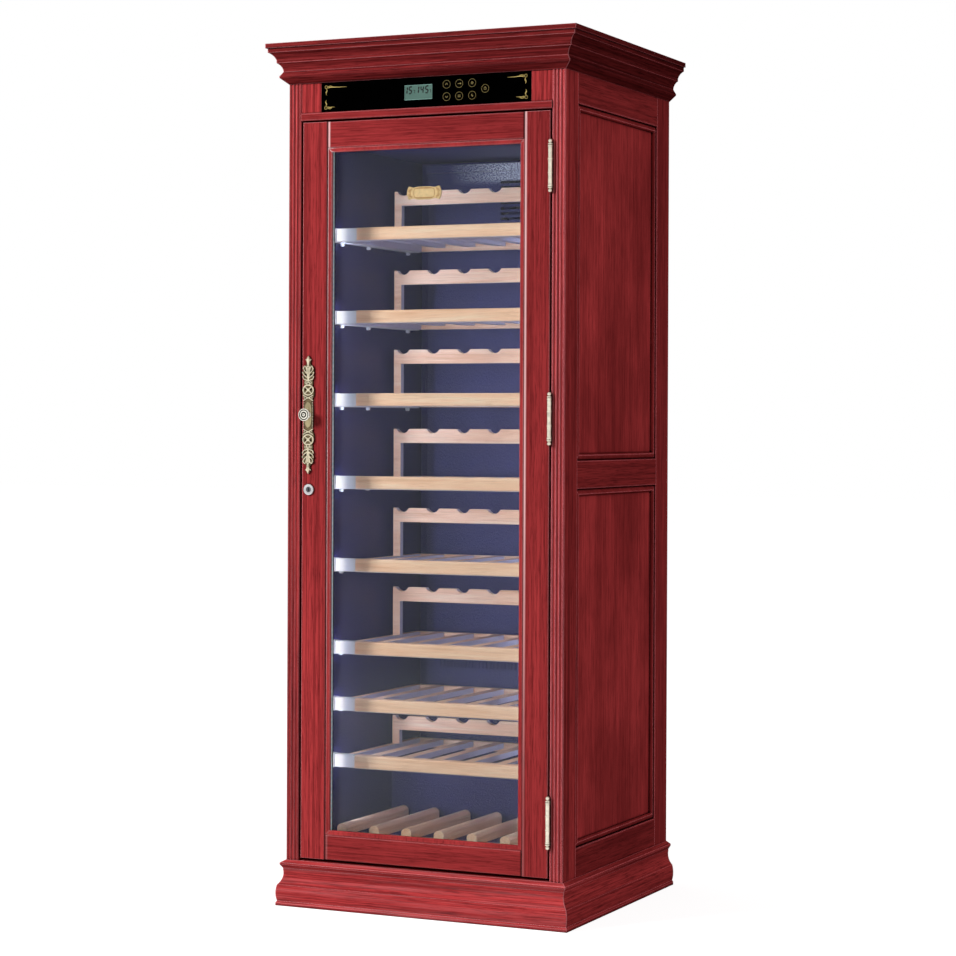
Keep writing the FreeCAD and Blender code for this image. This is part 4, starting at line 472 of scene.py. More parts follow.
def knob_brass(middle, radius):
    """Gilt of the knob: pale on the raised rings, dark in the grooves between them."""
    look = Shader("knob_gilt")
    from_middle = look.vector_math("SUBTRACT", "Vector", look.position(), middle)
    across = look.vector_math("MULTIPLY", "Vector", from_middle, (1, 0, 1))
    share = look.math("DIVIDE", look.vector_math("LENGTH", "Value", across), radius)
    pale = (0.98, 0.95, 0.84)
    dark = (0.004, 0.003, 0.002)
    rings = look.ramp(share, (0.0, dark), (0.08, dark), (0.14, pale), (0.24, pale), (0.30, dark),
                      (0.46, dark), (0.52, pale), (0.66, pale), (0.71, dark), (0.83, dark),
                      (0.88, pale), (1.0, pale))
    cloud = look.even_noise(160, 3)
    look.set(Base_Color=look.mix(look.times(cloud, 0.12), rings, (0.16, 0.12, 0.06)),
             Metallic=0.75, Roughness=look.plus(look.times(cloud, 0.2), 0.22),
             Normal=look.bump(cloud, 0.1, 0.3 * MM))
    return look.material


# Glass, lights and print

def clear_glass():
    """Float glass: clear, greenish at a slant, with a faint even reflection."""
    look = Shader("float_glass")
    slant = look.add("ShaderNodeLayerWeight", Blend=0.5).outputs["Facing"]
    tint = look.mix(slant, (0.995, 0.997, 0.996), (0.93, 0.955, 0.95))
    clear = look.add("ShaderNodeBsdfTransparent", Color=tint)
    dust = look.even_noise(40, 4, 0.7)
    shine = look.add("ShaderNodeBsdfGlossy", Color=(0.9, 0.95, 1.0, 1),
                     Roughness=look.times(dust, 0.05))
    fresnel = look.add("ShaderNodeFresnel", IOR=1.25).outputs[0]
    blend = look.add("ShaderNodeMixShader")
    look.feed(blend.inputs[0], look.times(fresnel, 0.6))
    look.feed(blend.inputs[1], clear.outputs[0])
    look.feed(blend.inputs[2], shine.outputs[0])
    look.feed(look.output.inputs["Surface"], blend.outputs[0])
    look.tree.nodes.remove(look.surface)
    return look.material


def panel_black():
    """Black printed glass with a trace of dust."""
    look = Shader("panel_black_glass")
    dust = look.even_noise(60, 5, 0.7)
    dusty = look.ramp(dust, (0.55, 0.0), (0.9, 0.25))
    look.set(Base_Color=look.mix(dusty, (0.0002, 0.0002, 0.0002), (0.003, 0.003, 0.004)),
             Roughness=look.plus(look.times(dust, 0.08), 0.04), Specular_IOR_Level=0.0)
    return look.material


def light_diffuser():
    """A milky diffuser, brighter where a lamp sits behind it."""
    look = Shader("light_diffuser")
    glow = look.plus(look.times(look.level_bands(18.0, 0.3), 0.35), 0.8)
    look.set(Base_Color=(0.85, 0.88, 0.95, 1), Roughness=0.4, Emission_Color=(0.82, 0.89, 1.0, 1),
             Emission_Strength=look.times(glow, 8.0))
    return look.material


def display_glass():
    """A lit grey-green liquid crystal display."""
    look = Shader("display_glass")
    tone = look.mix(look.even_noise(30, 2), (0.062, 0.120, 0.102), (0.092, 0.165, 0.138))
    look.set(Base_Color=tone, Roughness=0.3, Specular_IOR_Level=0.1, Emission_Color=tone,
             Emission_Strength=0.12)
    return look.material


def printed(name, colour, glow=0.0, metallic=0.0):
    """A print's ink, uneven as a screen leaves it; glow gives the ink a painted glow."""
    look = Shader(name)
    speck = look.even_noise(900, 2)
    tone = look.mix(look.times(speck, 0.5), colour, toned(colour, 0.6))
    look.set(Base_Color=tone, Roughness=0.4, Metallic=metallic, Emission_Color=tone,
             Emission_Strength=glow)
    return look.material


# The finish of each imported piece

post_oak = stained_oak("stained_oak_post", "z", 1.02, edge_highlight_share=0.35)
right_post_oak = stained_oak("stained_oak_right_post", "z", edge_highlight_share=1.0, highlight_colour=POST_PAINTED_HIGHLIGHT, seed=0.8)
crosswise_oak = stained_oak("stained_oak_crosswise", "x", 0.78, 0.5, 0.4, seed=3.1)
side_stile_oak = stained_oak("stained_oak_side_stile", "z", 0.80, 0.5, 1.0, SIDE_PAINTED_HIGHLIGHT, seed=6.4)
aluminium = sheet_metal("bare_aluminium", (0.60, 0.61, 0.63), 0.9, 0.35)
zinc = sheet_metal("zinc_plated_sheet", (0.42, 0.43, 0.45), 0.85, 0.38)
steel = sheet_metal("turned_steel", (0.62, 0.62, 0.63), 0.95, 0.28)
black_plastic = rubbery("black_plastic", (0.016, 0.016, 0.018), 0.45)
brass = aged_brass("aged_brass", (0.78, 0.70, 0.50), (0.030, 0.020, 0.010), even=0.45)
hinge_brass = aged_brass("hinge_brass", (0.90, 0.84, 0.68), (0.10, 0.06, 0.04))
pale_gilt = aged_brass("pale_gilt", (0.74, 0.55, 0.29), (0.40, 0.24, 0.10), 0.4, 0.82)

SHELVES = range(1, 9)
FINISH = {
    "post_left": post_oak,
    "post_right": right_post_oak,
    "rear_stiles": side_stile_oak,
    "side_rails": stained_oak("stained_oak_deepwise", "y", 0.76, 0.6, highlight_colour=SIDE_PAINTED_HIGHLIGHT, seed=5.7),
    "side_panels": stained_oak("stained_oak_panel", "z", 1.25, 0.4, highlight_colour=SIDE_PAINTED_HIGHLIGHT, seed=8.3,
                               blotch=0.5),
    "side_mouldings": side_stile_oak,
    "top_board": crosswise_oak,
    # the cornice's low tones are painted shade on its down-facing coves, and on the sides also its darker
    # grain
    "cornice_front": stained_oak("stained_oak_cornice", "x", 0.52, edge_highlight_share=0.6, seed=9.1),
    "cornice_sides": stained_oak("stained_oak_cornice_side", "y", 0.34, 1.0, 0.45, SIDE_PAINTED_HIGHLIGHT,
                                 seed=9.8),
    "plinth_front": stained_oak("stained_oak_plinth", "x", 1.38, 0.9, 0.8, seed=4.4, painted_sheen=0.14),
    "plinth_sides": stained_oak("stained_oak_plinth_side", "y", 1.1, 0.8, 0.9, SIDE_PAINTED_HIGHLIGHT,
                                seed=4.9),
    "bottom_board": crosswise_oak,
    "ledge_rail": crosswise_oak,
    "fascia_board": post_oak,
    "door_hinge_stile": stained_oak("stained_oak_hinge_stile", "z", 0.88, 0.6, seed=2.9,
                                    contrast=0.3, painted_shade_by_height=(0.40, 1.60, 0.26), joint=True),
    "door_lock_stile": stained_oak("stained_oak_stile", "z", 1.10, 0.8, seed=2.2, contrast=0.4,
                                   painted_shade_by_height=(0.50, 0.96, 0.30), joint=True),
    "door_rails": stained_oak("stained_oak_rail", "x", 0.78, 0.5, 0.4, seed=3.1, joint=True),
    "door_moulding": stained_oak("stained_oak_bead", "z", 0.95, 0.3, 1.0, BEAD_PAINTED_HIGHLIGHT, seed=1.2,
                                 edge=3 * MM, highlight_from=0.0085, bead=True),
    "control_panel": panel_black(),
    "display": display_glass(),
    "control_board": rubbery("circuit_card", (0.02, 0.12, 0.04), 0.5),
    "insulation": wall_foam(),
    "inner_liner": liner_sheet(),
    "rear_panel": fibreboard("rear_board"),
    "machine_cover": zinc,
    "base_pan": zinc,
    "led_strips": light_diffuser(),
    "duct_cover": duct_sheet(),
    "evaporator": aluminium,
    "evaporator_fan_frame": black_plastic,
    "evaporator_fan": black_plastic,
    "shelf_runners": sheet_metal("white_powder_coat", (0.78, 0.79, 0.84), 0.0, 0.35),
    "bottom_rack": beech("beech_rack", "y", 2.0),
    "compressor": sheet_metal("black_enamel", (0.012, 0.012, 0.014), 0.0, 0.3),
    "condenser": aluminium,
    "condenser_fan_frame": black_plastic,
    "condenser_fan": black_plastic,
    "power_inlet": black_plastic,
    "strike_plate": brass,
    "hinge_frame_leaves": hinge_brass,
    "hinge_door_leaves": hinge_brass,
    "hinge_pins": hinge_brass,
    "door_glass": clear_glass(),
    "glass_spacer": spacer_bar(),
    "door_gasket": rubbery("gasket", (0.02, 0.02, 0.022)),
    "glass_badge": pale_gilt,
    "handle_plate": aged_brass("plate_brass", (0.22, 0.17, 0.09), (0.02, 0.012, 0.006)),
    "handle_knob": brass,
    "lock_case": steel,
    "lock_plug": sheet_metal("plug_steel", (0.10, 0.10, 0.11), 0.9, 0.35),
    "lock_bolt": steel,
}
for number in SHELVES:
    FINISH[f"shelf_{number}"] = beech(f"beech_shelf_{number}", "x", float(number), shelf=True)
for node, finish in FINISH.items():
    materials = NODES[node].data.materials
    materials.clear()
    materials.append(finish)


# Forms in mesh code, all in millimetres

def piece(name, shape, finish, body, stands_for=()):
    """A finished form as a named piece that rides its body."""
    bmesh.ops.recalc_face_normals(shape, faces=shape.faces)
    mesh = bpy.data.meshes.new(name)
    shape.to_mesh(mesh)
    shape.free()
    for polygon in mesh.polygons:
        polygon.use_smooth = True
    obj = bpy.data.objects.new(name, mesh)
    bpy.context.scene.collection.objects.link(obj)
    mesh.materials.append(finish)
    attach(obj, body)
    if stands_for:
        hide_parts(*stands_for)


def circle(count):
    """The (cosine, sine) of even steps round a circle."""
    turns = [2 * math.pi * step / count for step in range(count)]
    return [(math.cos(turn), math.sin(turn)) for turn in turns]


def skin(shape, rings, closed=False):
    """Quads between rings of points, with flat ends unless the rings close up."""
    made = [[shape.verts.new(point) for point in ring] for ring in rings]
    count = len(made[0])
    pairs = list(zip(made, made[1:])) + ([(made[-1], made[0])] if closed else [])
    for first, second in pairs:
        for here in range(count):
            beside = (here + 1) % count
            shape.faces.new((first[here], first[beside], second[beside], second[here]))
    if not closed:
        shape.faces.new(made[0][::-1])
        shape.faces.new(made[-1])


def tube(shape, path, radii, sides=8, closed=False, flat=1.0):
    """A round bar along a path of (x, d, z), its thickness in d squashed by flat."""
    path = [Vector(point) for point in path]
    if isinstance(radii, (int, float)):
        radii = [radii] * len(path)
    rings = []
    for number, (point, radius) in enumerate(zip(path, radii)):
        if closed:
            ahead, behind = path[(number + 1) % len(path)], path[number - 1]
        else:
            ahead, behind = path[min(number + 1, len(path) - 1)], path[max(number - 1, 0)]
        along = (ahead - behind).normalized()
        side = along.cross(Vector((0, 1, 0)))
        if side.length < 0.05:
            side = along.cross(Vector((0, 0, 1)))
        side.normalize()
        out = side.cross(along).normalized()
        rings.append([at(*(point + side * radius * cosine + out * flat * radius * sine))
                      for cosine, sine in circle(sides)])
    skin(shape, rings, closed)


def smoothed(points, steps=5):
    """More points along a soft curve through these ones."""
    points = [Vector(point) for point in points]
    made = []
    for number in range(len(points) - 1):
        before = points[max(number - 1, 0)]
        start, end = points[number], points[number + 1]
        after = points[min(number + 2, len(points) - 1)]
        for step in range(steps):
            share = step / steps
            made.append(0.5 * ((2 * start) + (end - before) * share
                               + (2 * before - 5 * start + 4 * end - after) * share * share
                               + (3 * start - before - 3 * end + after) * share ** 3))
    return made + [points[-1]]


def taper(values, count):
    """Radii spread evenly along a path of count points."""
    made = []
    for number in range(count):
        place = number * (len(values) - 1) / (count - 1)
        start = min(int(place), len(values) - 2)
        made.append(values[start] + (values[start + 1] - values[start]) * (place - start))
    return made


def frond(shape, points, radii, sides=8):
    path = smoothed(points)
    tube(shape, path, taper(radii, len(path)), sides)


def loop(shape, middle, wide, tall, radius, count=40, sides=8):
    """An upright oval ring, from its half width and half height."""
    x, d, z = middle
    path = [(x + wide * cosine, d, z + tall * sine) for cosine, sine in circle(count)]
    tube(shape, path, radius, sides, closed=True)


def ball(shape, middle, radius, squash=1.0):
    grown = Matrix.Translation(at(*middle)) @ Matrix.Diagonal((1, squash, 1, 1))
    bmesh.ops.create_uvsphere(shape, u_segments=14, v_segments=8, radius=radius * MM, matrix=grown)


def lathe(shape, x, z, profile, sides=56):
    """A turned form on an axis along d, from (radius, d) pairs."""
    skin(shape, [[at(x + radius * cosine, d, z + radius * sine) for cosine, sine in circle(sides)]
                 for radius, d in profile])


def upright_lathe(shape, x, d, profile, sides=28):
    """A turned form on an upright axis, from (radius, z) pairs."""
    skin(shape, [[at(x + radius * cosine, d + radius * sine, z) for cosine, sine in circle(sides)]
                 for radius, z in profile])


def slab(shape, points, front, back, bevel):
    """A flat plate from an outline of (x, z), its front edges bevelled."""
    middle = sum((Vector(point) for point in points), Vector((0, 0))) / len(points)
    rings = []
    for d, shrink in ((back, 0.0), (front + bevel, 0.0), (front, bevel)):
        ring = []
        for point in points:
            away = Vector(point) - middle
            place = middle + away * max(0.0, 1 - shrink / max(away.length, 0.001))
            ring.append(at(place.x, d, place.y))
        rings.append(ring)
    skin(shape, rings)


# The pull handle, in (x, z) from the knob's axis

HANDLE = centre("handle_plate")
ORNAMENT_D = -2.2       # the middle of the ornament's bars, just proud of the plate
BAND_BALL_D = -2.6
LEAF_BALL_D = -2.8
BUD_D = -3.0

# The points and radii of the bars on one side: a shoot, four leaves and an inner vein, and the
# bands that cross within the ring and under it.
SIDE_BARS = (
    (((0, 114), (3.4, 117), (7.0, 119.4)), (2.0, 1.8, 0.7)),
    (((0.4, 73), (5, 75), (10.4, 77), (12.8, 81.5)), (1.5, 1.5, 1.4, 1.0)),
    (((0.8, 79), (5.6, 82.5), (10.8, 86), (12.9, 90.5)), (1.6, 1.6, 1.4, 1.0)),
    (((1.0, 86), (4.8, 91), (9.4, 95), (11.8, 99.5)), (1.6, 1.6, 1.4, 1.0)),
    (((1.0, 84), (3.2, 94), (4.8, 101), (8.2, 104.8), (10.8, 103)), (1.5, 1.7, 1.6, 1.4, 1.0)),
    (((0.5, 75), (2.2, 86), (2.4, 97), (3.4, 104)), (1.8, 1.5, 1.3, 1.8)),
    (((9.2, 62), (3.4, 56.5), (0, 53.5), (-3.4, 50.5), (-9.2, 45)), (1.2, 1.6, 1.8, 1.6, 1.2)),
    (((10.6, 41.6), (5.2, 38.6), (0, 36.6), (-5.2, 34.6), (-10.4, 31)), (1.7, 1.5, 1.7, 1.5, 1.7)),
)
SPIRE = (((0, 103), (0, 108), (0, 113), (0, 119), (0, 127)), (3.4, 2.6, 3.6, 5.2, 0.6))
STEM = (((0, 70), (0, 80), (0, 92), (0, 102)), (1.6, 2.0, 1.5, 2.0))
LEAF_TIPS = ((12.8, 82), (12.9, 91), (11.8, 100), (10.4, 102.6))
BAND_ENDS = ((10.8, 41.8), (10.6, 30.8), (9.2, 36.4))
RING_Z = 53.5
RING_HALF_WIDTH, RING_HALF_HEIGHT = 12.2, 10.8
KNOT_Z = 66.4
BUD_Z = 36.6

BEADS_EACH_WAY = 8      # the pearls down each edge of the shield, from its middle
BEAD_PITCH = 3.3
SHIELD_CORNER = ((0, 29), (4, 26.5), (7.6, 21), (9, 13))
SHIELD_HALF_WIDTH = 9.2

KNOB_RADIUS = 13.5
KNOB_PROFILE = (
    (7.6, -2), (7.6, -4.6), (6.4, -5.8), (4.4, -6.6), (4.0, -11), (5.2, -14), (10.2, -16.6),
    (13.0, -18.6), (KNOB_RADIUS, -20.4), (13.3, -22), (12.3, -22.9), (11.3, -22.4), (10.6, -21.2),
    (9.8, -21.2), (9.1, -22.6), (8.0, -23.6), (6.8, -23.2), (6.0, -21.8), (4.6, -21.6),
    (3.7, -22.8), (2.8, -24.4), (1.4, -24.9), (0.05, -25))


def half_of_handle(shape, turn):
    """The ornament above the knob, or below it when turn is -1."""
    def spot(x, z, d=ORNAMENT_D):
        return (HANDLE.x + x, d, HANDLE.z + turn * z)

    for points, radii in (SPIRE, STEM):
        frond(shape, [spot(x, z) for x, z in points], radii)
    for side in (-1, 1):
        for points, radii in SIDE_BARS:
            frond(shape, [spot(side * x, z) for x, z in points], radii)
        for x, z in LEAF_TIPS:
            ball(shape, spot(side * x, z, LEAF_BALL_D), 1.8)
        for x, z in BAND_ENDS:
            ball(shape, spot(side * x, z, BAND_BALL_D), 1.7)
        loop(shape, spot(side * 5.6, KNOT_Z + 3), 2.1, 2.1, 1.0, 18)
    loop(shape, spot(0, KNOT_Z), 3.6, 3.4, 1.3, 22)
    loop(shape, spot(0, RING_Z), RING_HALF_WIDTH, RING_HALF_HEIGHT, 1.9, 44)
    loop(shape, spot(0, RING_Z, BAND_BALL_D), 2.6, 2.6, 1.1, 16)
    ball(shape, spot(0, BUD_Z, BUD_D), 2.3)


def handle_ornament():
    shape = bmesh.new()
    for turn in (1, -1):
        half_of_handle(shape, turn)
    for side in (-1, 1):
        for step in range(-BEADS_EACH_WAY, BEADS_EACH_WAY + 1):
            away = 11.0 - abs(step) * 0.08
            ball(shape, (HANDLE.x + side * away, ORNAMENT_D, HANDLE.z + step * BEAD_PITCH), 1.35)
    piece("handle_ornament", shape, brass, "door")


def handle_shield():
    """The smooth shield behind the knob, the same in all four corners."""
    below = [(x, -z) for x, z in reversed(SHIELD_CORNER[1:])]
    right = [*SHIELD_CORNER, (SHIELD_HALF_WIDTH, 0), *below]
    outline = right + [(-x, -z) for x, z in right]
    shape = bmesh.new()
    slab(shape, [(HANDLE.x + x, HANDLE.z + z) for x, z in outline], -4.2, -1.5, 1.6)
    shield_brass = aged_brass("shield_brass", (0.36, 0.30, 0.17), (0.03, 0.02, 0.01))
    piece("handle_shield", shape, shield_brass, "door")


def turned_knob():
    shape = bmesh.new()
    lathe(shape, HANDLE.x, HANDLE.z, KNOB_PROFILE)
    gilt = knob_brass((HANDLE.x * MM, 0, HANDLE.z * MM), KNOB_RADIUS * MM)
    piece("turned_knob", shape, gilt, "door", ("handle_knob",))


# The lock's rose and the hinges' rings

ROSE_PROFILE = ((7.0, -0.6), (12.0, -0.4), (12.2, -1.6), (11.6, -2.8), (10.4, -3.4), (9.0, -3.1),
                (8.2, -2.4), (7.6, -2.0), (7.0, -0.6))
PIN_HALF_LENGTH = 55.5              # with its finials
MIDDLE_HINGE_SHARE = 0.615          # how far up from the low hinge to the high one
RING_OFFSETS = (-40.5, -14.6, 14.6, 40.5)
RING_PROFILE = ((4.4, -1.7), (5.1, -1.2), (5.4, 0), (5.1, 1.2), (4.4, 1.7))


def lock_rose():
    lock = centre("lock_plug")
    shape = bmesh.new()
    lathe(shape, lock.x, lock.z, ROSE_PROFILE)
    piece("lock_rose_ring", shape, steel, "door")


def hinge_rings():
    """Four turned rings on the barrel of each hinge."""
    pins_low, pins_high = corners("hinge_pins")
    axis = (pins_low + pins_high) / 2
    low = pins_low.z + PIN_HALF_LENGTH
    high = pins_high.z - PIN_HALF_LENGTH
    middle = low + MIDDLE_HINGE_SHARE * (high - low)
    for tag, level in (("low", low), ("middle", middle), ("high", high)):
        shape = bmesh.new()
        for offset in RING_OFFSETS:
            upright_lathe(shape, axis.x, axis.y, [(radius, level + offset + z)
                                                  for radius, z in RING_PROFILE])
        piece(f"hinge_rings_{tag}", shape, hinge_brass, "cabinet")


# The badge on the glass, bare, in (x, z) from its middle

BADGE_RIGHT = ((14, 13), (26, 11.2), (34.8, 13.6), (38.6, 8), (40, 0), (38.6, -8), (34.8, -13.6),
               (26, -11.2), (14, -13.6))
FRAME_RIGHT = ((12, 9.4), (22, 8.6), (24.6, 0), (22, -8.6), (12, -9.6))
SCROLL = ((27.5, 6.5), (32.5, 7.5), (35.4, 3.4), (32.4, 1.2))


def badge():
    middle = centre("glass_badge")
    face = corners("glass_badge")[0].y

    def closed_line(shape, right, share_x, share_z, d, radius, sides):
        """A bar along an outline, given by its right half, and scaled in x and in z."""
        outline = [*right, *((-x, z) for x, z in reversed(right)), right[0]]
        path = smoothed([(middle.x + x * share_x, d, middle.z + z * share_z)
                         for x, z in outline], 4)
        tube(shape, path[:-1], radius, sides, closed=True)

    rim = bmesh.new()
    closed_line(rim, BADGE_RIGHT, 0.965, 0.95, face - 0.1, 1.0, 8)
    engraving = bmesh.new()
    for scale in (1.0, 1.32):
        closed_line(engraving, FRAME_RIGHT, scale, 0.5 + 0.5 * scale, face, 0.55, 6)
    for side in (-1, 1):
        for up in (-1, 1):
            frond(engraving, [(middle.x + side * x, face, middle.z + up * z) for x, z in SCROLL],
                  (0.4, 0.9, 0.8, 0.5), 6)
    gilt = aged_brass("engraved_gilt", (0.52, 0.30, 0.12), (0.20, 0.10, 0.04), 0.45)
    piece("badge_engraving", engraving, gilt, "door")
    piece("badge_rim", rim, pale_gilt, "door")


# The control panel's print

PANEL_LOW, PANEL_HIGH = corners("control_panel")
DISPLAY_LOW, DISPLAY_HIGH = corners("display")
PRINT_D = PANEL_LOW.y - 0.1         # the print's middle, just proud of the panel's face
DIGIT_D = DISPLAY_LOW.y - 0.1
RIM_D = PANEL_LOW.y + 0.2

KEY_COLUMNS = (52.3, 81.6, 111.7)
UPPER_KEYS_Z, LOWER_KEYS_Z = 1755.8, 1729.8
POWER_KEY = (141.7, 1742.6)
KEY_RADIUS = 8.4


def curl(shape, x, z, radius, thick=0.35):
    loop(shape, (x, PRINT_D, z), radius, radius, thick, 18, 4)


def stroke(shape, points, widths):
    path = smoothed([(x, PRINT_D, z) for x, z in points], 4)
    tube(shape, path, taper(widths, len(path)), 4, flat=0.3)


def icon(shape, key, *points, width=0.5):
    """A line of even width, in (x, z) from the middle of its key."""
    stroke(shape, [(key[0] + x, key[1] + z) for x, z in points], (width, width))


def flourish(shape, corner, right, up, run):
    """A corner ornament: a curl, a tapering level stroke and an upright leaf."""
    x, z = corner

    def line(points, widths):
        stroke(shape, [(x + right * across, z + up * rise) for across, rise in points], widths)

    curl(shape, x, z, 3.2)
    curl(shape, x + right * 5.6, z - up * 0.6, 1.7, 0.3)
    line(((6, -1.4), (13, -0.4), (run * 0.6, -1.2), (run, -1.2)), (0.5, 0.9, 0.55, 0.12))
    line(((4.6, 1.2), (10, 2.2), (15, 0.4)), (0.2, 0.6, 0.15))
    line(((0, -4), (1.8, -8), (-0.4, -12), (1.0, -17)), (0.3, 0.8, 0.6, 0.15))
    line(((0.4, -9), (-1.8, -12.5)), (0.55, 0.2))


def corner_ornaments():
    shape = bmesh.new()
    left, right = PANEL_LOW.x, PANEL_HIGH.x
    bottom, top = PANEL_LOW.z, PANEL_HIGH.z
    flourish(shape, (left + 12, top - 9), 1, 1, 50)
    flourish(shape, (left + 11, bottom + 9), 1, -1, 22)
    flourish(shape, (right - 12, top - 9), -1, 1, 42)
    flourish(shape, (right - 11, bottom + 9), -1, -1, 24)
    # the gold print's glow is painted light
    gold = printed("panel_gold_print", (0.66, 0.50, 0.16), 0.35, 0.3)
    piece("panel_print", shape, gold, "cabinet")


def key_print():
    """The keys' rings and what stands in them: arrows, a switch, lines, a dial, a bolt and power."""
    shape = bmesh.new()
    up, switch, dial = ((x, UPPER_KEYS_Z) for x in KEY_COLUMNS)
    down, lines, flash = ((x, LOWER_KEYS_Z) for x in KEY_COLUMNS)
    for x, z in (up, down, switch, lines, dial, flash, POWER_KEY):
        loop(shape, (x, PRINT_D, z), KEY_RADIUS, KEY_RADIUS, 0.32, 32, 4)
    icon(shape, up, (-2.8, -1.4), (0, 2.4), (2.8, -1.4))
    icon(shape, down, (-2.8, 1.4), (0, -2.4), (2.8, 1.4))
    icon(shape, switch, (-3.4, 0), (3.4, 0), width=0.55)
    ball(shape, (switch[0] + 3, PRINT_D, switch[1]), 1.5, 0.2)
    for rise in (1.6, -1.6):
        icon(shape, lines, (-3.2, rise), (3.2, rise), width=0.55)
    curl(shape, *dial, 2.6)
    ball(shape, (dial[0], PRINT_D, dial[1]), 1.2, 0.3)
    icon(shape, flash, (0, 3.2), (-1.7, -0.4), (1.7, -0.2), (0, -3.4))
    curl(shape, *POWER_KEY, 2.8)
    icon(shape, POWER_KEY, (0, 0), (0, 3.8))
    # the key print's glow is painted light
    dim_gold = printed("panel_key_print", (0.34, 0.27, 0.10), 0.2, 0.3)
    piece("key_print", shape, dim_gold, "cabinet")


# The display's figures

SEGMENTS = {"1": "bc", "4": "fgbc", "5": "afgcd", "7": "abc"}
SEGMENT_ENDS = {"a": ((0, 1), (1, 1)), "b": ((1, 1), (1, 0.5)), "c": ((1, 0.5), (1, 0)),
                "d": ((0, 0), (1, 0)), "f": ((0, 0.5), (0, 1)), "g": ((0, 0.5), (1, 0.5))}
LEAN = 0.12
SEGMENT_GAP = 0.08      # how much of a segment's length is left free at each end
FIGURES = (("1", -1.2), ("5", 9.3), ("1", 25.8), ("4", 36.8), ("5", 48.1))
SMALL_FIGURES = (("7", 19.9), ("7", 57.5))
FIGURES_RISE = 13.3     # from the display's lower edge


def digit(shape, figure, x, z, wide, tall, thick):
    """A seven-segment figure that leans a little to the right."""
    for segment in SEGMENTS[figure]:
        start, end = (Vector((x + across * wide + LEAN * rise * tall, DIGIT_D, z + rise * tall))
                      for across, rise in SEGMENT_ENDS[segment])
        gap = (end - start) * SEGMENT_GAP
        tube(shape, [start + gap, end - gap], thick, 4, flat=0.2)


def display_figures():
    shape = bmesh.new()
    z = DISPLAY_LOW.z + FIGURES_RISE
    for figure, x in FIGURES:
        digit(shape, figure, DISPLAY_LOW.x + x, z, 5.8, 14.0, 1.4)
    for figure, x in SMALL_FIGURES:
        digit(shape, figure, DISPLAY_LOW.x + x, z, 3.0, 6.4, 0.65)
    ink = printed("display_ink", (0.002, 0.003, 0.004))
    piece("display_figures", shape, ink, "cabinet")


def display_rim():
    shape = bmesh.new()
    low, high = DISPLAY_LOW, DISPLAY_HIGH
    corner_points = ((low.x, low.z), (high.x, low.z), (high.x, high.z), (low.x, high.z))
    tube(shape, [(x, RIM_D, z) for x, z in corner_points], 0.7, 4, closed=True, flat=0.6)
    # the rim's glow is painted light
    piece("display_rim", shape, printed("display_rim_grey", (0.20, 0.36, 0.32), 0.3), "cabinet")


handle_ornament()
handle_shield()
turned_knob()
lock_rose()
hinge_rings()
badge()
key_print()
corner_ornaments()
display_figures()
display_rim()


# Camera

YAW = math.radians(24.9997)
ROLL = math.radians(0.2382)
EYE = (2.39786, -5.14680, 1.04319)
SENSOR_WIDTH, FOCAL_LENGTH = 36, 96.762
SHIFT_UP = -0.0572


def camera():
    """The photograph's camera: level, turned by its yaw, and rolled a little."""
    forward = Vector((-math.sin(YAW), math.cos(YAW), 0))
    level = Vector((math.cos(YAW), math.sin(YAW), 0))
    up = Vector((0, 0, 1))
    right = level * math.cos(ROLL) + up * math.sin(ROLL)
    above = up * math.cos(ROLL) - level * math.sin(ROLL)
    view = Matrix((right, above, -forward)).transposed().to_4x4()
    view.translation = EYE
    lens = bpy.data.cameras.new("photo_camera")
    lens.sensor_width = SENSOR_WIDTH
    lens.lens = FOCAL_LENGTH
    lens.shift_y = SHIFT_UP
    lens.clip_end = 60
    holder = bpy.data.objects.new("photo_camera", lens)
    holder.matrix_world = view
    bpy.context.scene.collection.objects.link(holder)
    bpy.context.scene.camera = holder


# Floor, surround and lamps

BACKGROUND_RAYS = ("Is Camera Ray", "Is Glossy Ray", "Is Transmission Ray")
FLOOR_DARK, FLOOR_LIGHT = (0.40, 0.40, 0.40), (0.44, 0.44, 0.44)
FLOOR_GLOW = 0.86           # with what the lamps add, the floor comes out white
SURROUND_LIGHT = 0.34       # the world's strength on the part, where the rays above see 1
COLD_WHITE = (0.66, 0.76, 1.0)
STRIP_LEVELS = (430, 970, 1440)
STRIP_SIZE = (0.012, 0.5)
STRIP_SPREAD = math.radians(110)


def lamp(name, place, target, size, power, colour=(1, 1, 1), spread=math.pi):
    """A rectangular lamp at a place, turned to a target, and unseen in reflections."""
    light = bpy.data.lights.new(name, "AREA")
    light.shape = "RECTANGLE"
    light.size, light.size_y = size
    light.energy = power
    light.color = colour
    light.spread = spread
    holder = bpy.data.objects.new(name, light)
    holder.location = place
    holder.rotation_mode = "QUATERNION"
    holder.rotation_quaternion = (Vector(target) - Vector(place)).to_track_quat("-Z", "Y")
    holder.visible_glossy = False
    bpy.context.scene.collection.objects.link(holder)


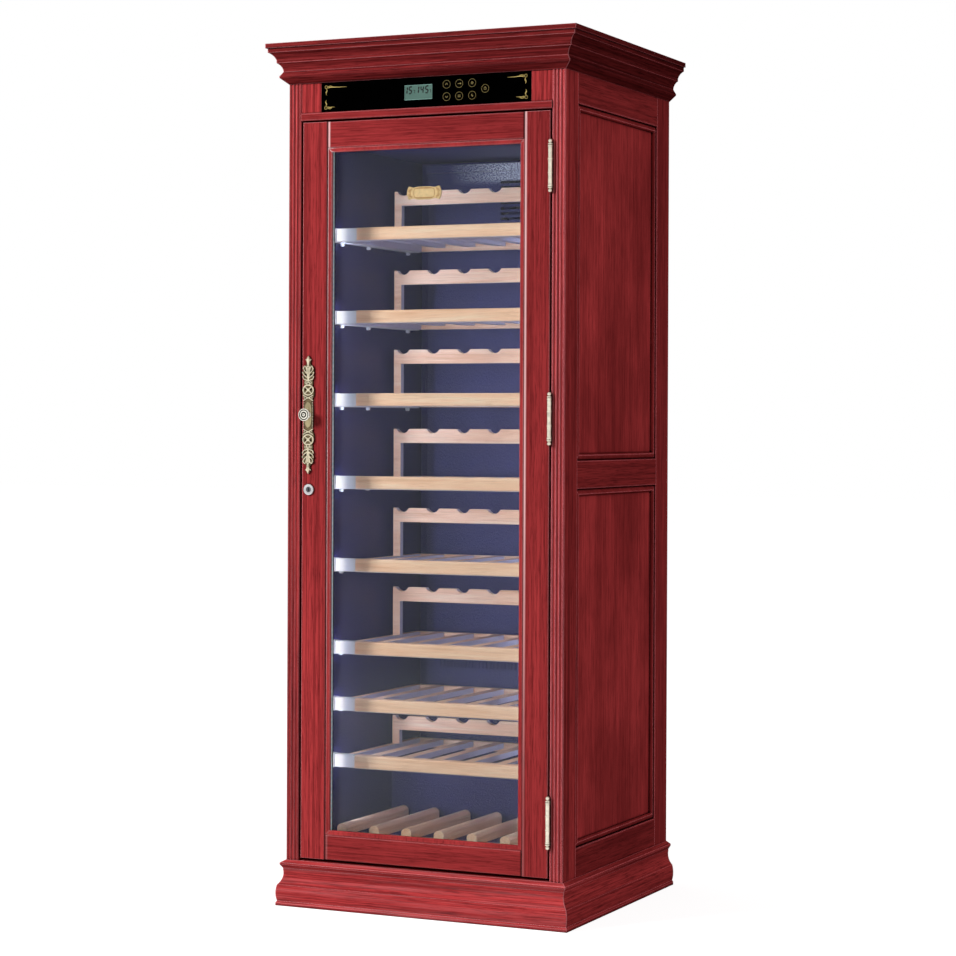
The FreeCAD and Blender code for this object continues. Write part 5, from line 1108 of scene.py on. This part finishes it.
def background_rays(tree):
    """1 for rays that look at the background and 0 for the light that falls on the part."""
    path = tree.nodes.new("ShaderNodeLightPath")
    seen = path.outputs[BACKGROUND_RAYS[0]]
    for other in BACKGROUND_RAYS[1:]:
        either = tree.nodes.new("ShaderNodeMath")
        either.operation = "MAXIMUM"
        tree.links.new(seen, either.inputs[0])
        tree.links.new(path.outputs[other], either.inputs[1])
        seen = either.outputs[0]
    return seen


def pale_floor():
    """A white floor that keeps the part's shadow."""
    look = Shader("pale_floor")
    look.set(Base_Color=look.mix(look.even_noise(2, 2), FLOOR_DARK, FLOOR_LIGHT), Roughness=0.9,
             Specular_IOR_Level=0.0, Emission_Color=(1, 1, 1, 1),
             Emission_Strength=look.times(background_rays(look.tree), FLOOR_GLOW))
    bpy.ops.mesh.primitive_plane_add(size=60, location=(0, 0, 0))
    floor = bpy.context.object
    floor.name = "floor"
    floor.data.materials.append(look.material)


def pale_surround():
    """A white world, which lights the part more softly than it looks."""
    world = bpy.data.worlds.new("studio")
    bpy.context.scene.world = world
    world.use_nodes = True
    tree = world.node_tree
    strength = tree.nodes.new("ShaderNodeMix")
    strength.inputs["A"].default_value = SURROUND_LIGHT
    strength.inputs["B"].default_value = 1.0
    tree.links.new(background_rays(tree), strength.inputs["Factor"])
    background = tree.nodes["Background"]
    tree.links.new(strength.outputs["Result"], background.inputs["Strength"])
    background.inputs["Color"].default_value = (1, 1, 1, 1)


def lamps():
    """A key lamp on the left, a weak fill on the right, and the glow of the two light strips."""
    lamp("key", (-3.4, -4.0, 3.3), (0, 0, 1.0), size=(1.6, 1.6), power=330)
    lamp("side_fill", (4.2, -0.6, 2.4), (0, 0, 0.9), size=(2.2, 2.6), power=28)
    for z in STRIP_LEVELS:
        lamp(f"left_glow_{z}", at(-261, 118, z), at(60, 520, z), STRIP_SIZE, 0.7, COLD_WHITE,
             STRIP_SPREAD)
        lamp(f"right_glow_{z}", at(261, 240, z), at(110, 500, z), STRIP_SIZE, 0.6, COLD_WHITE,
             STRIP_SPREAD)


camera()
pale_floor()
pale_surround()
lamps()
bpy.context.scene.view_settings.view_transform = "Standard"
